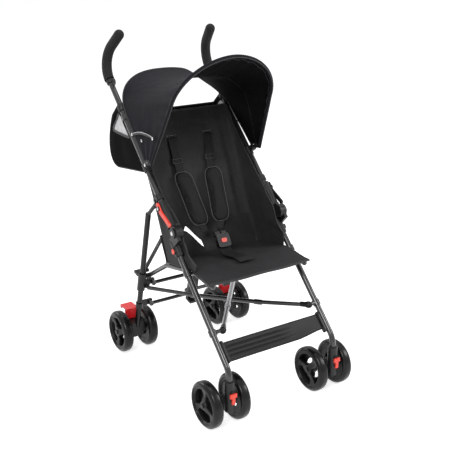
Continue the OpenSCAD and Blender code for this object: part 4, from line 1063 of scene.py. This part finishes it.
def rivet(b, centre, axis, r, h):
    """A domed head of radius r and height h."""
    head = [(-0.0006, r), (h * 0.45, r), (h * 0.8, r * 0.82), (h, r * 0.45), (h * 1.02, 0.0001)]
    b.lathe(head, centre, axis, 0, 24)


for side_name, sg in SIDES:
    out = X_AXIS * sg
    b = Build()
    rivet(b, P(sg * (SIDE_X + 16.2), -38, 508), out, 0.0062, 0.0022)
    ob = b.piece("knuckle_rivet_" + side_name, [steel_mat], "front_leg_" + side_name)
    b = Build()
    b.lathe(mm(BUTTON), on_leg(sg * (SIDE_X + 14.6), -42), out, 0, 32)
    ob = b.piece("release_button_" + side_name, [red_mat], "front_leg_" + side_name)
    b = Build()
    rivet(b, P(sg * (SIDE_X + 11.5), 77, 573), out, 0.005, 0.002)
    rivet(b, P(sg * (SIDE_X + 14.1), *PIVOT), out, 0.005, 0.002)
    rivet(b, P(*on_handle(92, 0, sg * (SIDE_X + 20.7))), out, 0.0045, 0.0018)
    ob = b.piece("frame_rivets_" + side_name, [steel_mat], "frame_" + side_name)
    b = Build()
    b.lathe(mm(COLLAR), P(*on_handle(556, 0, sg * SIDE_X)), HANDLE_UP, 0, 36)
    b.lathe(mm(CLIP), P(*on_handle(455, 0, sg * SIDE_X)), HANDLE_UP, 0, 36)
    ring = P(*on_handle(541, -20, sg * SIDE_X))
    turns = [2 * math.pi * k / RING_STEPS for k in range(RING_STEPS)]
    loop = [ring + (HANDLE_UP * math.cos(t) + HANDLE_FORE * math.sin(t)) * RING_R for t in turns]
    b.tube(loop, 0.0021, 0, 10, True)
    b.piece("grip_collar_" + side_name, [plastic_mat], "frame_" + side_name)


# Black ball ends of the lower braces

for side_name, sg in SIDES:
    foot = P(sg * 155, -234, 266)
    brace = nodes["lower_brace_" + side_name]
    far = max((brace.matrix_world @ v.co for v in brace.data.vertices), key=lambda p: (p - foot).length)
    b = Build()
    b.lathe(mm(BOOT), foot, (far - foot).normalized(), 0, 28)
    b.piece("brace_boot_" + side_name, [black_mat], "lower_brace_" + side_name)


# Camera, light and floor

# Fitted to the photograph: place in metres, turn, tilt down and roll in degrees, lens in mm, and shifts
CAM_AT, CAM_TURN, CAM_TILT, CAM_ROLL = (-1.28822, -2.01330, 1.31901), -33.076, 19.322, -0.07
CAM_LENS, CAM_SHIFT = 64.97, (0.00196, -0.0042)

cam_data = bpy.data.cameras.new("camera")
cam_data.lens = CAM_LENS
cam_data.sensor_width = 36
cam_data.shift_x, cam_data.shift_y = CAM_SHIFT
cam_data.clip_end = 50
cam = bpy.data.objects.new("camera", cam_data)
scene.collection.objects.link(cam)
turn = (Matrix.Rotation(math.radians(CAM_TURN), 4, "Z") @ Matrix.Rotation(math.radians(90 - CAM_TILT), 4, "X")
        @ Matrix.Rotation(math.radians(CAM_ROLL), 4, "Z"))
cam.matrix_world = Matrix.Translation(CAM_AT) @ turn
scene.camera = cam


def lamp(name, place, aim, size, watts):
    """A round area lamp that faces a point."""
    data = bpy.data.lights.new(name, "AREA")
    data.shape = "DISK"
    data.size = size
    data.energy = watts
    ob = bpy.data.objects.new(name, data)
    scene.collection.objects.link(ob)
    ob.location = place
    ob.rotation_euler = (Vector(aim) - Vector(place)).to_track_quat("-Z", "Y").to_euler()


lamp("key", (-2.4, -2.2, 3.0), (0, 0, 0.55), 1.8, 80)
lamp("fill", (2.2, -1.9, 2.1), (0, 0, 0.4), 1.2, 42)
lamp("top", (0.2, 0.6, 3.4), (0, 0, 0.5), 2.2, 30)
lamp("back", (-1.2, 2.8, 1.9), (0, 0, 0.7), 1.6, 30)



def seen_rays(tree):
    """1 for camera, glossy and transmission rays, and 0 for the rays that light the part."""
    rays = add_node(tree, "LightPath")
    value = rays.outputs["Is Camera Ray"]
    for kind in ("Is Glossy Ray", "Is Transmission Ray"):
        either = add_node(tree, "Math")
        either.operation = "MAXIMUM"
        tree.links.new(value, either.inputs[0])
        tree.links.new(rays.outputs[kind], either.inputs[1])
        value = either.outputs["Value"]
    return value


world = bpy.data.worlds.new("studio")
scene.world = world
world.use_nodes = True
t = world.node_tree
t.nodes.clear()
out = add_node(t, "OutputWorld")
ambient = add_node(t, "Background", Color=(1, 1, 1, 1), Strength=0.45)
white = add_node(t, "Background", Color=(1, 1, 1, 1), Strength=1.0)
pick = add_node(t, "MixShader")
t.links.new(seen_rays(t), pick.inputs["Fac"])
t.links.new(ambient.outputs["Background"], pick.inputs[1])
t.links.new(white.outputs["Background"], pick.inputs[2])
t.links.new(pick.outputs["Shader"], out.inputs["Surface"])

floor_data = bpy.data.meshes.new("floor")
floor_data.from_pydata([(-14, -14, 0), (14, -14, 0), (14, 14, 0), (-14, 14, 0)], [], [(0, 1, 2, 3)])
floor = bpy.data.objects.new("floor", floor_data)
scene.collection.objects.link(floor)
floor.location.z = -0.0006
fm = bpy.data.materials.new("pale_floor")
fm.use_nodes = True
t = fm.node_tree
t.nodes.clear()
out = add_node(t, "OutputMaterial")
diffuse = add_node(t, "BsdfDiffuse", Color=(0.86, 0.86, 0.86, 1))
glow = add_node(t, "Emission", Color=(1, 1, 1, 1), Strength=0.68)
dark = add_node(t, "Emission", Strength=0.0)
pick = add_node(t, "MixShader")
t.links.new(seen_rays(t), pick.inputs["Fac"])
t.links.new(dark.outputs["Emission"], pick.inputs[1])
t.links.new(glow.outputs["Emission"], pick.inputs[2])
both = add_node(t, "AddShader")
t.links.new(diffuse.outputs["BSDF"], both.inputs[0])
t.links.new(pick.outputs["Shader"], both.inputs[1])
t.links.new(both.outputs["Shader"], out.inputs["Surface"])
floor_data.materials.append(fm)

scene.view_settings.view_transform = "Standard"
